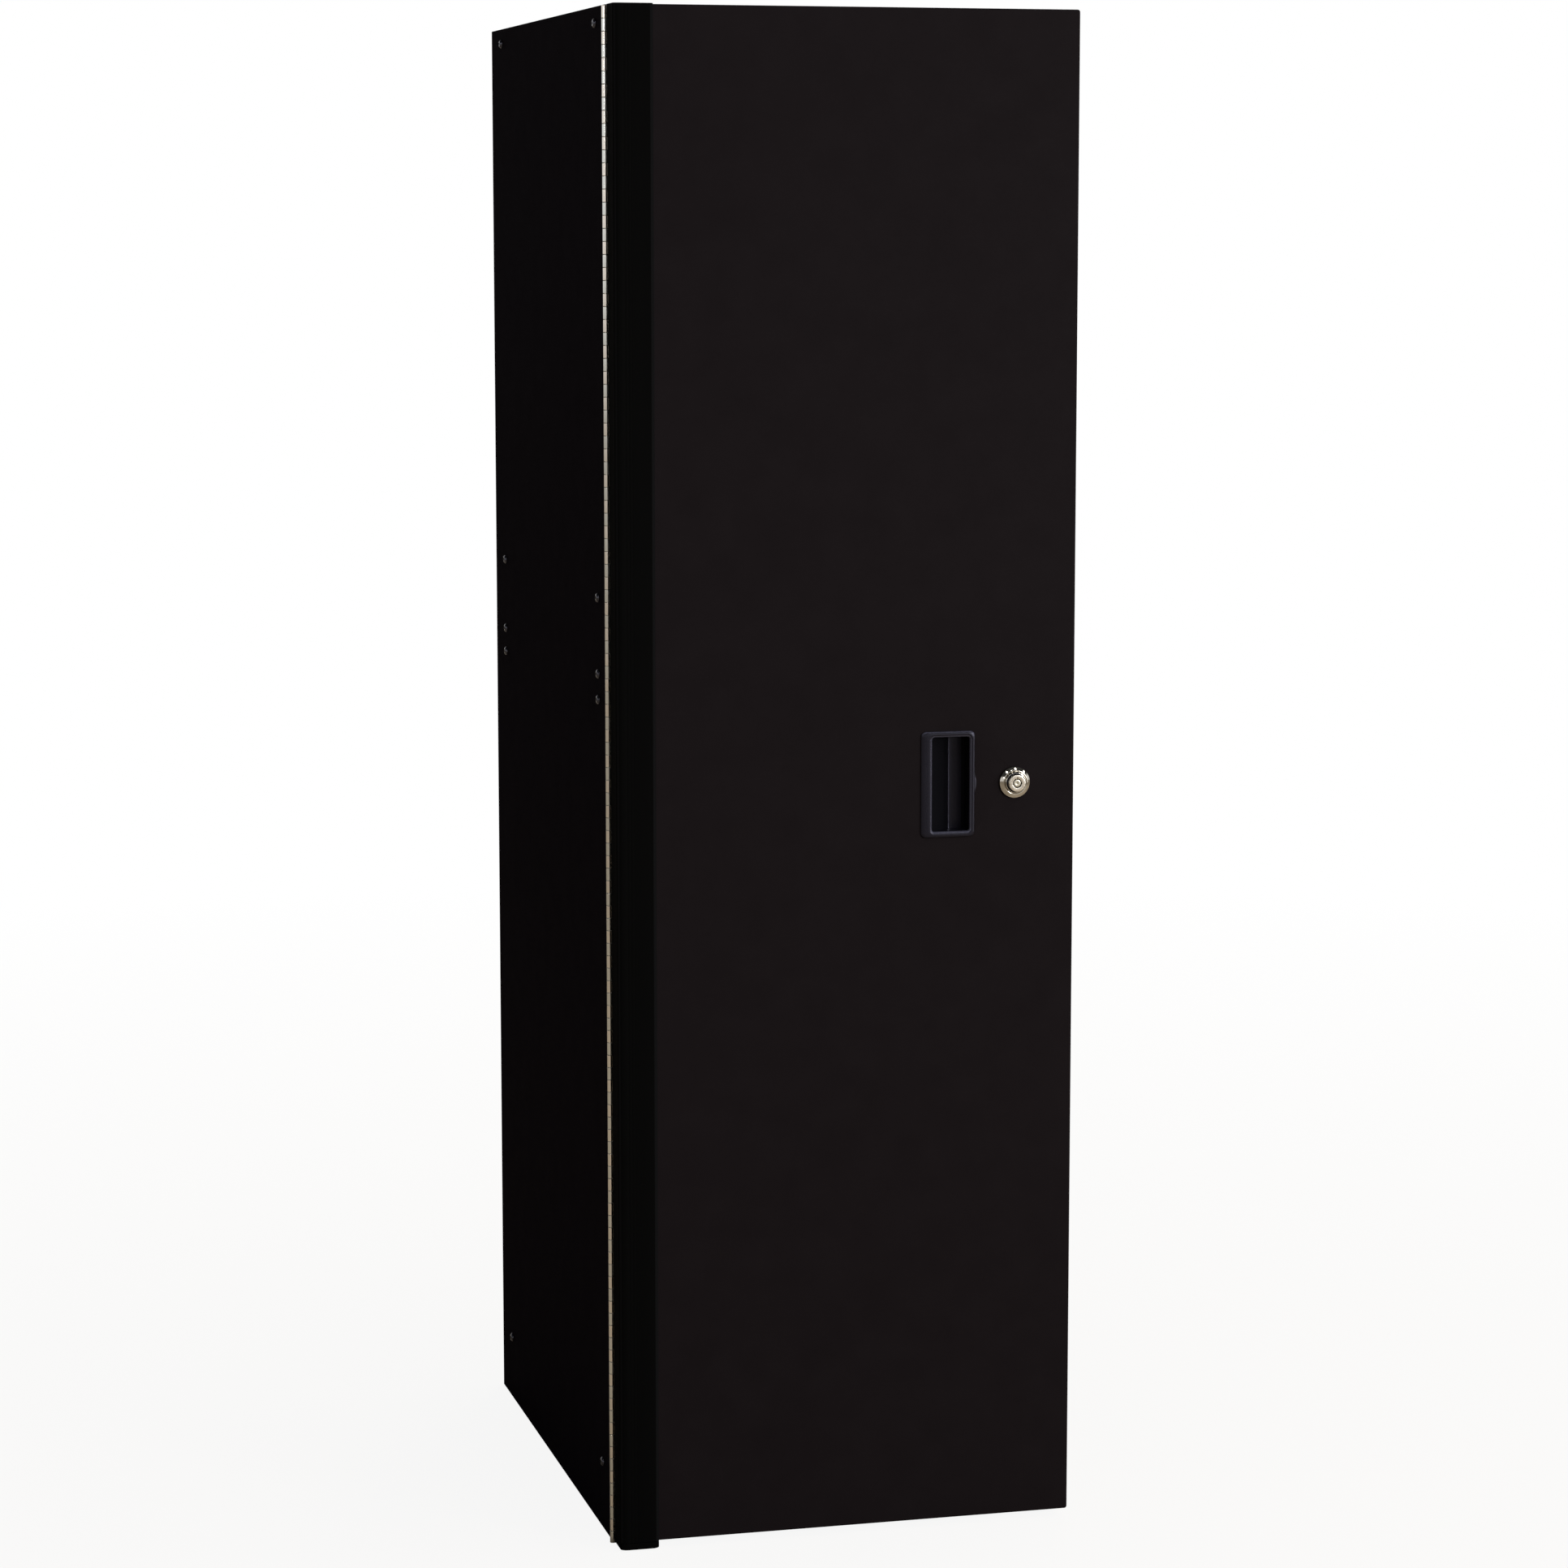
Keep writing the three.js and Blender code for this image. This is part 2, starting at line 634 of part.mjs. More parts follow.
function doorSkin() {
  const y = [DOOR_FRONT, DOOR_BACK];
  const cutoutX = grown([CUP_LIP_X[0], CUP_INSIDE_END], CUP_WALL + FIT);
  const frontCut = grown([DOOR_FRONT, DOOR_FRONT + SHEET], CUT_PAST);
  const rearCut = grown([DOOR_BACK - SHEET, DOOR_BACK], CUT_PAST);
  return cut(block(DOOR_X, y, DOOR_Z), [
    block(grown(DOOR_X, -SHEET), grown(y, -SHEET), grown(DOOR_Z, -SHEET)),
    block(grown(DOOR_X, -DOOR_LIP), rearCut, grown(DOOR_Z, -DOOR_LIP)),
    block(cutoutX, frontCut, grown(CUP_Z, CUP_WALL + FIT)),
    frontPrism(barrelHole(0), frontCut),
  ]);
}

function doorInnerPanel() {
  const inset = -(SHEET + FIT);
  return cut(block(grown(DOOR_X, inset), INNER_PANEL_Y, grown(DOOR_Z, inset)), [
    frontPrism(barrelHole(BARREL_HOLE_MARGIN), grown(INNER_PANEL_Y, CUT_PAST)),
  ]);
}

// A hat channel between the two sheets, with its crown against the skin.
function doorStiffener() {
  const x = CABINET_WIDTH - STIFFENER_INSET;
  const half = STIFFENER_WIDTH / 2;
  const inside = half - INNER_SHEET;
  const crown = DOOR_FRONT + SHEET + FIT;
  const foot = INNER_PANEL_Y[0] - FIT;
  const section = polygon([
    [x - half - STIFFENER_FOOT, foot],
    [x - half - STIFFENER_FOOT, foot - INNER_SHEET],
    [x - half, foot - INNER_SHEET],
    [x - half, crown],
    [x + half, crown],
    [x + half, foot - INNER_SHEET],
    [x + half + STIFFENER_FOOT, foot - INNER_SHEET],
    [x + half + STIFFENER_FOOT, foot],
    [x + inside, foot],
    [x + inside, crown + INNER_SHEET],
    [x - inside, crown + INNER_SHEET],
    [x - inside, foot],
  ]);
  return uprightPrism(section, grown(DOOR_Z, -(SHEET + FIT)));
}

// The trim's outer line, from its rear edge round the front to its bevelled edge on the door.
function trimLine() {
  const shape = new THREE.Shape();
  const curveY = TRIM_FRONT + TRIM_CURVE_DEPTH;
  shape.moveTo(0, DOOR_BACK);
  shape.lineTo(0, curveY);
  shape.absellipse(
    TRIM_CURVE_WIDTH,
    curveY,
    TRIM_CURVE_WIDTH,
    TRIM_CURVE_DEPTH,
    Math.PI,
    (3 * Math.PI) / 2,
  );
  shape.lineTo(TRIM_WIDTH - TRIM_BEVEL_WIDTH, TRIM_FRONT);
  shape.lineTo(TRIM_WIDTH, TRIM_FRONT + TRIM_BEVEL_DEPTH);
  return shape;
}

function doorTrim() {
  const shape = trimLine();
  shape.lineTo(TRIM_WIDTH, DOOR_FRONT - FIT);
  shape.lineTo(TRIM_SIDE_WALL, DOOR_FRONT - FIT);
  shape.lineTo(TRIM_SIDE_WALL, DOOR_BACK);
  return uprightPrism(shape, [DOOR_BOTTOM, CABINET_HEIGHT]);
}

// The cap closes the trim below the door's bottom edge.
function trimCap() {
  const shape = trimLine();
  shape.lineTo(TRIM_WIDTH, DOOR_BACK);
  return uprightPrism(shape, [TRIM_BOTTOM, DOOR_BOTTOM - FIT]);
}

function bumper(z) {
  const pad = disc(BUMPER_DIAMETER / 2, MEDIUM_SIDES, CABINET_WIDTH - JAMB_WIDTH / 2, z);
  return frontPrism(pad, [DOOR_BACK + FIT, -FIT]);
}

// Cup pull: fingers slide down the ramp from the hinge side and hook behind the other lip.
function handleCup() {
  const flangeX = [HANDLE_X - HANDLE_WIDTH / 2, HANDLE_X + HANDLE_WIDTH / 2];
  const flangeZ = [PULL_HEIGHT - HANDLE_LENGTH / 2, PULL_HEIGHT + HANDLE_LENGTH / 2];
  const flangeY = [DOOR_FRONT - HANDLE_PROUD, DOOR_FRONT - FIT];
  const flange = frontPrism(roundedRectangle(flangeX, flangeZ, HANDLE_CORNER), flangeY);

  const halfChord = HANDLE_BUMP_LENGTH / 2;
  const bumpRadius = (halfChord ** 2 + HANDLE_BUMP ** 2) / (2 * HANDLE_BUMP);
  const bumpSpan = Math.asin(halfChord / bumpRadius);
  const bumpShape = new THREE.Shape();
  const bumpCentre = flangeX[1] + HANDLE_BUMP - bumpRadius;
  bumpShape.absarc(bumpCentre, PULL_HEIGHT, bumpRadius, -bumpSpan, bumpSpan);
  bumpShape.lineTo(flangeX[1] - HANDLE_BUMP, PULL_HEIGHT + halfChord);
  bumpShape.lineTo(flangeX[1] - HANDLE_BUMP, PULL_HEIGHT - halfChord);
  const bump = frontPrism(bumpShape, [DOOR_FRONT - HANDLE_PROUD / 2, DOOR_FRONT - FIT]);

  const rampSlope = CUP_RAMP / (CUP_FLOOR - DOOR_FRONT);
  const bodyShape = polygon([
    [CUP_LIP_X[0] - CUP_WALL, flangeY[0] + FIT],
    [CUP_LIP_X[0] - CUP_WALL, DOOR_FRONT + CUP_WALL],
    [CUP_RAMP_END - CUP_WALL * rampSlope, CUP_FLOOR + CUP_WALL],
    [CUP_INSIDE_END + CUP_WALL, CUP_FLOOR + CUP_WALL],
    [CUP_INSIDE_END + CUP_WALL, flangeY[0] + FIT],
  ]);
  const body = uprightPrism(bodyShape, grown(CUP_Z, CUP_WALL));

  const hollowShape = polygon([
    [CUP_LIP_X[0], flangeY[0] - CUT_PAST],
    [CUP_LIP_X[0], flangeY[0] + CUP_WALL],
    [CUP_RAMP_END, CUP_FLOOR],
    [CUP_INSIDE_END, CUP_FLOOR],
    [CUP_INSIDE_END, flangeY[0] + CUP_WALL],
    [CUP_LIP_X[1], flangeY[0] + CUP_WALL],
    [CUP_LIP_X[1], flangeY[0] - CUT_PAST],
  ]);
  return cut(join([flange, bump, body]), [uprightPrism(hollowShape, CUP_Z)]);
}

// Key lock

function lockCollar() {
  const seat = DOOR_FRONT - FIT;
  const profile = [
    [BARREL_HOLE, COLLAR_FRONT],
    [COLLAR_SHOULDER / 2, COLLAR_FRONT],
    [COLLAR_DIAMETER / 2, seat - COLLAR_EDGE],
    [COLLAR_DIAMETER / 2, seat],
    [BARREL_HOLE, seat],
    [BARREL_HOLE, COLLAR_FRONT],
  ];
  return turned(profile, LOCK_X, PULL_HEIGHT, FINE_SIDES);
}

// The head stands on a flange that is drawn against the collar by the lock nut.
function lockHousing() {
  const bore = (SPINDLE_DIAMETER / 2 + FIT) / Math.cos(Math.PI / FINE_SIDES);
  const flangeBack = COLLAR_FRONT - FIT;
  const flangeFront = flangeBack - LOCK_FLANGE_HEIGHT;
  const rear = CAM_Y[0] - FIT;
  const profile = [
    [bore, LOCK_FACE],
    [LOCK_HEAD_DIAMETER / 2 - LOCK_HEAD_EDGE, LOCK_FACE],
    [LOCK_HEAD_DIAMETER / 2, LOCK_FACE + LOCK_HEAD_EDGE],
    [LOCK_HEAD_DIAMETER / 2, flangeFront],
    [LOCK_FLANGE_RADIUS, flangeFront],
    [LOCK_FLANGE_RADIUS, flangeBack],
    [BARREL_DIAMETER / 2, flangeBack],
    [BARREL_DIAMETER / 2, rear],
    [bore, rear],
    [bore, LOCK_FACE],
  ];
  return turned(profile, LOCK_X, PULL_HEIGHT, FINE_SIDES);
}

function lockNut() {
  const shape = hexagon(LOCK_NUT_FLATS, LOCK_X, PULL_HEIGHT);
  shape.holes.push(barrelHole(0));
  const front = DOOR_FRONT + SHEET + FIT;
  return frontPrism(shape, [front, front + LOCK_NUT_HEIGHT]);
}

function centredSquare(size) {
  const half = size / 2;
  return [
    [LOCK_X - half, LOCK_X + half],
    [PULL_HEIGHT - half, PULL_HEIGHT + half],
  ];
}

// The spindle ends in a post, and the ring around it is the keyway. Behind it are a square seat
// for the cam and a threaded stud.
function lockSpindle() {
  const front = LOCK_FACE + SPINDLE_RECESS;
  const keywayEnd = front + KEYWAY_DEPTH;
  const profile = [
    [0, front],
    [KEY_POST_DIAMETER / 2, front],
    [KEY_POST_DIAMETER / 2, keywayEnd],
    [SPINDLE_DIAMETER / 2, keywayEnd],
    [SPINDLE_DIAMETER / 2, CAM_Y[0] - FIT],
    [CAM_STUD_DIAMETER / 2, CAM_Y[0] - FIT],
    [CAM_STUD_DIAMETER / 2, CAM_NUT_Y[1] + CAM_STUD_END],
    [0, CAM_NUT_Y[1] + CAM_STUD_END],
  ];
  const [seatX, seatZ] = centredSquare(CAM_SEAT_SIZE);
  const seat = block(seatX, [CAM_Y[0] - 2 * FIT, CAM_Y[1]], seatZ);
  return turned(profile, LOCK_X, PULL_HEIGHT, MEDIUM_SIDES).add(seat);
}

// The cam points up when unlocked, and sideways behind the jamb when locked.
function lockCam() {
  const half = CAM_WIDTH / 2;
  const hub = CAM_HUB_DIAMETER / 2;
  const meeting = Math.acos(half / hub);
  const shape = new THREE.Shape();
  shape.moveTo(LOCK_X + half, PULL_HEIGHT + CAM_REACH);
  shape.lineTo(LOCK_X - half, PULL_HEIGHT + CAM_REACH);
  shape.absarc(LOCK_X, PULL_HEIGHT, hub, Math.PI - meeting, 2 * Math.PI + meeting);
  const [holeX, holeZ] = centredSquare(CAM_SEAT_SIZE + 2 * FIT);
  return cut(frontPrism(shape, CAM_Y), [block(holeX, grown(CAM_Y, CUT_PAST), holeZ)]);
}

function lockCamNut() {
  const shape = hexagon(CAM_NUT_FLATS, LOCK_X, PULL_HEIGHT);
  shape.holes.push(clearHole(CAM_STUD_DIAMETER / 2 + FIT, MEDIUM_SIDES, LOCK_X, PULL_HEIGHT));
  return frontPrism(shape, CAM_NUT_Y);
}

// Assembly

const cabinet = pivot(0, 0, 0);
const door = pivot(HINGE_X, HINGE_Y, 0);
const lock = pivot(LOCK_X, DOOR_FRONT, PULL_HEIGHT);

for (const side of Object.keys(SIDES)) {
  place(cabinet, `${side}_side_panel`, sidePanel(side), "blackEnamel");
}
place(cabinet, "back_panel", backPanel(), "blackEnamel");
place(cabinet, "top_panel", topPanel(), "blackEnamel");
place(cabinet, "bottom_panel", bottomPanel(), "blackEnamel");

const [frontColumn, rearColumn] = FIXING_COLUMNS;
const corners = Object.keys(SIDES).flatMap((side) => [
  { side, y: frontColumn, name: `front_${side}` },
  { side, y: rearColumn, name: `rear_${side}` },
]);
for (const { side, y, name } of corners) {
  place(cabinet, `upright_${name}`, upright(side, y), "blackEnamel");
}
for (const [level, slot] of Object.entries(SHELF_SLOTS)) {
  place(cabinet, `shelf_${level}`, shelf(slot), "blackEnamel");
  for (const { side, y, name } of corners) {
    place(cabinet, `shelf_clip_${level}_${name}`, shelfClip(side, y, slot), "galvanised");
  }
}
fixingPoints().forEach(([y, z], index) => {
  place(cabinet, `side_screw_${index + 1}`, sideScrew("left", y, z), "blackOxide");
});
place(cabinet, "hinge_leaf_cabinet", hingeLeaf(1, 0), "zincPlate");
place(cabinet, "hinge_pin", hingePin(), "zincPlate");
place(cabinet, "bumper_bottom", bumper(BUMPER_END_DISTANCE), "rubber");
place(cabinet, "bumper_top", bumper(CABINET_HEIGHT - BUMPER_END_DISTANCE), "rubber");

place(door, "hinge_leaf_door", hingeLeaf(-1, 1), "zincPlate");
place(door, "door_skin", doorSkin(), "doorEnamel");
place(door, "door_inner_panel", doorInnerPanel(), "blackEnamel");
place(door, "door_stiffener", doorStiffener(), "galvanised");
place(door, "door_trim", doorTrim(), "blackAnodised");
place(door, "trim_cap", trimCap(), "blackPlastic");
place(door, "handle_cup", handleCup(), "blackPlastic");
place(door, "lock_collar", lockCollar(), "chrome");
place(door, "lock_housing", lockHousing(), "chrome");
place(door, "lock_nut", lockNut(), "zincPlate");

place(lock, "lock_spindle", lockSpindle(), "zincPlate");
place(lock, "lock_cam", lockCam(), "zincPlate");
place(lock, "lock_cam_nut", lockCamNut(), "zincPlate");

// The origin is under the middle of the whole locker, on the floor.
const assembly = new THREE.Group();
assembly.add(cabinet, door, lock);
const extent = new THREE.Box3().setFromObject(assembly);
const middle = extent.getCenter(new THREE.Vector3());
assembly.position.set(-middle.x, -middle.y, -extent.min.z);

const locker = new THREE.Group();
locker.add(assembly);

export default locker;
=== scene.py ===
"""Looks of a tall steel side locker: black case and door, bright continuous hinge, cup pull and key lock."""

import math

import bmesh
import bpy
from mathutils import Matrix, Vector

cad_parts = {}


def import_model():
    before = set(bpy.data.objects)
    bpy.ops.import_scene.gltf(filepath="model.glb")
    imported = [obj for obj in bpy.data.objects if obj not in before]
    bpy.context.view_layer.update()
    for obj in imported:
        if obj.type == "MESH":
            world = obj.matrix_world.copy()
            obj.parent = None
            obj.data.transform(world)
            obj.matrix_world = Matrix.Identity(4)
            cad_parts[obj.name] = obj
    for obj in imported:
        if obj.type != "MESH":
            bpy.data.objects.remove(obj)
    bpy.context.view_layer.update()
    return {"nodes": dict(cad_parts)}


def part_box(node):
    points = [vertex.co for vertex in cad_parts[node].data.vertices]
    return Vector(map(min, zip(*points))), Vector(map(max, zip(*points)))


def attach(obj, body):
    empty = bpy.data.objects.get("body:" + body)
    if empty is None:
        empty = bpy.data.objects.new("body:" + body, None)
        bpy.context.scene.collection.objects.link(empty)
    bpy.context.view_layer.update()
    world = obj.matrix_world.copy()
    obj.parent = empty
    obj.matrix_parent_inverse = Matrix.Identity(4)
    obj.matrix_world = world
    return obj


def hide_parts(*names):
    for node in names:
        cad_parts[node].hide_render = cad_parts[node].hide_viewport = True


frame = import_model()

# Places are in millimetres: x from the left side's outer face, y back from the front frame and
# z up from the floor. ORIGIN is that corner in the frame, in metres.
MILLIMETRE = 0.001
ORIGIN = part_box("left_side_panel")[0]


def place(point):
    """A point in the locker's millimetres, as a point of the frame."""
    return ORIGIN + Vector(point) * MILLIMETRE


def measured(point):
    """A point of the frame, in the locker's millimetres."""
    return (point - ORIGIN) / MILLIMETRE


def span(node):
    """The x, y and z ranges of a CAD node, in the locker's millimetres."""
    low, high = [measured(corner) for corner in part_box(node)]
    return list(zip(low, high))


def grown(limits, by):
    """A range made longer at both ends."""
    return (limits[0] - by, limits[1] + by)


# Materials

# A screen's curve from written values to light: straight near black, and a power above that.
SCREEN_WHITE = 255
SCREEN_STRAIGHT_END = 0.04045
SCREEN_STRAIGHT_SLOPE = 12.92
SCREEN_OFFSET = 0.055
SCREEN_POWER = 2.4
# The part of a noise's range over which colour and roughness change.
NOISE_LOW = 0.3
NOISE_HIGH = 0.7
PATCH_DETAIL = 4
GRAIN_DETAIL = 3
# Height of the grain in metres, where its relief is 1.
GRAIN_HEIGHT = 0.0002


def linear(colour):
    """A colour written as on a screen, from 0 to 255, as the linear colour that a shader takes."""
    channels = []
    for value in colour:
        share = value / SCREEN_WHITE
        if share <= SCREEN_STRAIGHT_END:
            channels.append(share / SCREEN_STRAIGHT_SLOPE)
        else:
            channels.append(((share + SCREEN_OFFSET) / (1 + SCREEN_OFFSET)) ** SCREEN_POWER)
    return (*channels, 1)


def noise(tree, scale, detail, stretch):
    """A noise over the piece, finer with scale. A stretch below 1 draws it out along that axis."""
    coordinates = tree.nodes.new("ShaderNodeTexCoord")
    mapping = tree.nodes.new("ShaderNodeMapping")
    mapping.inputs["Scale"].default_value = stretch
    texture = tree.nodes.new("ShaderNodeTexNoise")
    texture.inputs["Scale"].default_value = scale
    texture.inputs["Detail"].default_value = detail
    tree.links.new(coordinates.outputs["Object"], mapping.inputs["Vector"])
    tree.links.new(mapping.outputs["Vector"], texture.inputs["Vector"])
    return texture.outputs["Fac"]


def make_finish(
    name,
    colours,
    roughness,
    metallic=0,
    specular=0.5,
    tint=(1, 1, 1, 1),
    patches=9,
    grains=700,
    relief=0.1,
    stretch=(1, 1, 1),
):
    """A finish whose colour drifts in patches between two colours, with a fine grain in its surface."""
    material = bpy.data.materials.new(name)
    material.use_nodes = True
    tree = material.node_tree
    shader = tree.nodes["Principled BSDF"]
    shader.inputs["Metallic"].default_value = metallic
    shader.inputs["Specular IOR Level"].default_value = specular
    shader.inputs["Specular Tint"].default_value = tint

    ramp = tree.nodes.new("ShaderNodeValToRGB")
    for element, position, colour in zip(ramp.color_ramp.elements, (NOISE_LOW, NOISE_HIGH), colours):
        element.position = position
        element.color = linear(colour)
    tree.links.new(noise(tree, patches, PATCH_DETAIL, stretch), ramp.inputs["Fac"])
    tree.links.new(ramp.outputs["Color"], shader.inputs["Base Color"])

    grain = noise(tree, grains, GRAIN_DETAIL, stretch)
    spread = tree.nodes.new("ShaderNodeMapRange")
    spread.inputs["From Min"].default_value = NOISE_LOW
    spread.inputs["From Max"].default_value = NOISE_HIGH
    spread.inputs["To Min"].default_value = roughness[0]
    spread.inputs["To Max"].default_value = roughness[1]
    tree.links.new(grain, spread.inputs["Value"])
    tree.links.new(spread.outputs["Result"], shader.inputs["Roughness"])

    bump = tree.nodes.new("ShaderNodeBump")
    bump.inputs["Strength"].default_value = relief
    bump.inputs["Distance"].default_value = GRAIN_HEIGHT
    tree.links.new(grain, bump.inputs["Height"])
    tree.links.new(bump.outputs["Normal"], shader.inputs["Normal"])
    return material


# Drawn metal has its grain along the height.
ALONG_HEIGHT = (1, 1, 0.02)
PLASTIC_TINT = (0.8, 0.79, 1, 1)


def hinge_plate(name, colours, roughness):
    return make_finish(
        name, colours, roughness, metallic=1, patches=60, grains=900, relief=0.06, stretch=ALONG_HEIGHT
    )


CASE_ENAMEL = make_finish(
    "case_enamel", [(17, 14, 19), (20, 17, 22)], (0.6, 0.75), specular=0.001, patches=30, grains=650
)
DOOR_ENAMEL = make_finish(
    "door_enamel", [(20, 16, 18), (22, 18, 20)], (0.5, 0.64), specular=0.025, patches=30, grains=650
)
BLACK_ANODISED = make_finish(
    "black_anodised",
    [(6, 6, 6), (10, 10, 10)],
    (0.55, 0.7),
    specular=0.002,
    grains=900,
    relief=0.08,
    stretch=ALONG_HEIGHT,
)
# Painted highlight: a paler anodised finish on the faces of the trim's rounded corner and bevel that look
# across.
ANODISED_PAINTED_HIGHLIGHT = make_finish(
    "anodised_painted_highlight", [(13, 13, 14), (18, 18, 19)], (0.5, 0.65), specular=0.004, stretch=ALONG_HEIGHT
)
BLACK_PLASTIC = make_finish(
    "black_plastic",
    [(8, 7, 13), (12, 11, 19)],
    (0.26, 0.36),
    specular=0.26,
    tint=PLASTIC_TINT,
    grains=1300,
    relief=0.04,
)
# Painted shade: a darker, duller plastic on the ramp and undercut inside the cup.
CUP_PLASTIC_PAINTED_SHADE = make_finish(
    "cup_plastic_painted_shade", [(7, 7, 10), (10, 10, 14)], (0.6, 0.75), specular=0.03, grains=1300, relief=0.15
)
# Painted highlight: a paler, glossier plastic on the pull's lip roll, its upward edges and the bead at the
# ramp's foot.
PLASTIC_PAINTED_HIGHLIGHT = make_finish(
    "plastic_painted_highlight",
    [(46, 46, 57), (60, 60, 72)],
    (0.22, 0.3),
    specular=0.4,
    tint=PLASTIC_TINT,
    grains=1300,
    relief=0.03,
)
CAP_PLASTIC = make_finish(
    "cap_plastic", [(6, 6, 6), (10, 10, 10)], (0.55, 0.7), specular=0.002, grains=1300
)
LOCK_CHROME = make_finish(
    "lock_chrome",
    [(178, 173, 163), (192, 187, 178)],
    (0.05, 0.11),
    metallic=1,
    patches=220,
    grains=1800,
    relief=0.02,
)
LOCK_FACE = make_finish(
    "lock_face",
    [(206, 200, 189), (221, 216, 207)],
    (0.18, 0.3),
    metallic=1,
    patches=300,
    grains=2600,
    relief=0.06,
)
HINGE_PLATE_CASE = hinge_plate("hinge_plate_case", [(216, 208, 198), (236, 229, 220)], (0.11, 0.22))
HINGE_PLATE_DOOR = hinge_plate("hinge_plate_door", [(202, 202, 197), (224, 224, 219)], (0.1, 0.2))
PLATED_STEEL = make_finish(
    "plated_steel", [(176, 172, 158), (204, 200, 188)], (0.25, 0.4), metallic=1, patches=90, grains=900
)
GALVANISED_STEEL = make_finish(
    "galvanised_steel", [(128, 132, 136), (168, 171, 174)], (0.38, 0.6), metallic=1, patches=140, grains=500
)
# Painted shade: a dark metal on the lock flange's ring round the head, a dark band where shade falls.
LOCK_RING_PAINTED_SHADE = make_finish(
    "black_oxide_steel", [(26, 26, 29), (44, 44, 48)], (0.28, 0.42), metallic=1, patches=400, grains=1500
)
SCREW_STEEL = make_finish(
    "screw_steel", [(52, 52, 58), (82, 82, 90)], (0.16, 0.28), metallic=1, patches=400, grains=1500
)
BUMPER_RUBBER = make_finish(
    "bumper_rubber",
    [(14, 14, 14), (22, 22, 22)],
    (0.7, 0.9),
    specular=0.2,
    patches=120,
    grains=1100,
    relief=0.2,
)


# Shapes

ARC_STEPS = 4
SMOOTH_ANGLE = math.radians(38)
EDGE_SEGMENTS = 2
# The sides of a surface that its thickness goes to.
INWARDS = -1
BOTH_WAYS = 0


def rounded(corners, steps=ARC_STEPS):
    """A closed line through corners given as (a, b, radius), each turned into an arc."""
    line = []
    for index, (a, b, radius) in enumerate(corners):
        corner = Vector((a, b))
        before = (Vector(corners[index - 1][:2]) - corner).normalized()
        after = (Vector(corners[(index + 1) % len(corners)][:2]) - corner).normalized()
        opening = before.angle(after)
        centre = corner + (before + after).normalized() * radius / math.sin(opening / 2)
        tangent = radius / math.tan(opening / 2)
        start = corner + before * tangent - centre
        end = corner + after * tangent - centre
        sweep = math.pi - opening
        for step in range(steps + 1):
            share = step / steps
            turned_start = math.sin((1 - share) * sweep) / math.sin(sweep)
            turned_end = math.sin(share * sweep) / math.sin(sweep)
            line.append(tuple(centre + start * turned_start + end * turned_end))
    return line


def rectangle(a, b, radius, steps=ARC_STEPS):
    corners = [(a[0], b[0]), (a[1], b[0]), (a[1], b[1]), (a[0], b[1])]
    return rounded([(*corner, radius) for corner in corners], steps)


def round_over(radius, steps):
    """A quarter turn from a face over its edge: how far inside the edge and behind the face each step is."""
    points = []
    for step in range(steps + 1):
        turn = step * math.pi / 2 / steps
        points.append((radius * (1 - math.sin(turn)), radius * (1 - math.cos(turn))))
    return points


class Surface:
    """Points and faces of a piece, in the locker's millimetres."""

    def __init__(self):
        self.points = []
        self.faces = []

    def loop(self, points):
        first = len(self.points)
        self.points.extend(points)
        return list(range(first, len(self.points)))

    def bridge(self, near, far):
        for index in range(len(near)):
            following = (index + 1) % len(near)
            self.faces.append((near[index], near[following], far[following], far[index]))

    def loft(self, rings):
        loops = [self.loop(ring) for ring in rings]
        for near, far in zip(loops, loops[1:]):
            self.bridge(near, far)
        return loops

    def cap(self, loop):
        self.faces.append(tuple(loop))

    def body(self, rings):
        """A closed body through rings of points, with both ends flat."""
        loops = self.loft(rings)
        self.cap(loops[0])
        self.cap(loops[-1])


def prism(rings):
    surface = Surface()
    surface.body(rings)
    return surface


def same_radius(radius, angle, along):
    return radius


def turned_rings(profile, spin, segments, shape=same_radius):
    """Rings of points for a profile of (radius, along), spun once round."""
    rings = []
    for radius, along in profile:
        ring = []
        for segment in range(segments):
            angle = segment * 2 * math.pi / segments
            ring.append(spin(shape(radius, angle, along), angle, along))
        rings.append(ring)
    return rings


def turned_tube(profile, spin, segments, shape=same_radius):
    """A body turned from a closed profile that stays clear of the axis."""
    tube = Surface()
    loops = tube.loft(turned_rings(profile, spin, segments, shape))
    tube.bridge(loops[-1], loops[0])
    return tube


def about_x(y, z):
    return lambda radius, angle, along: (along, y + radius * math.sin(angle), z + radius * math.cos(angle))


def about_y(x, z):
    return lambda radius, angle, along: (x + radius * math.sin(angle), along, z + radius * math.cos(angle))


def about_z(x, y):
    return lambda radius, angle, along: (x + radius * math.cos(angle), y + radius * math.sin(angle), along)


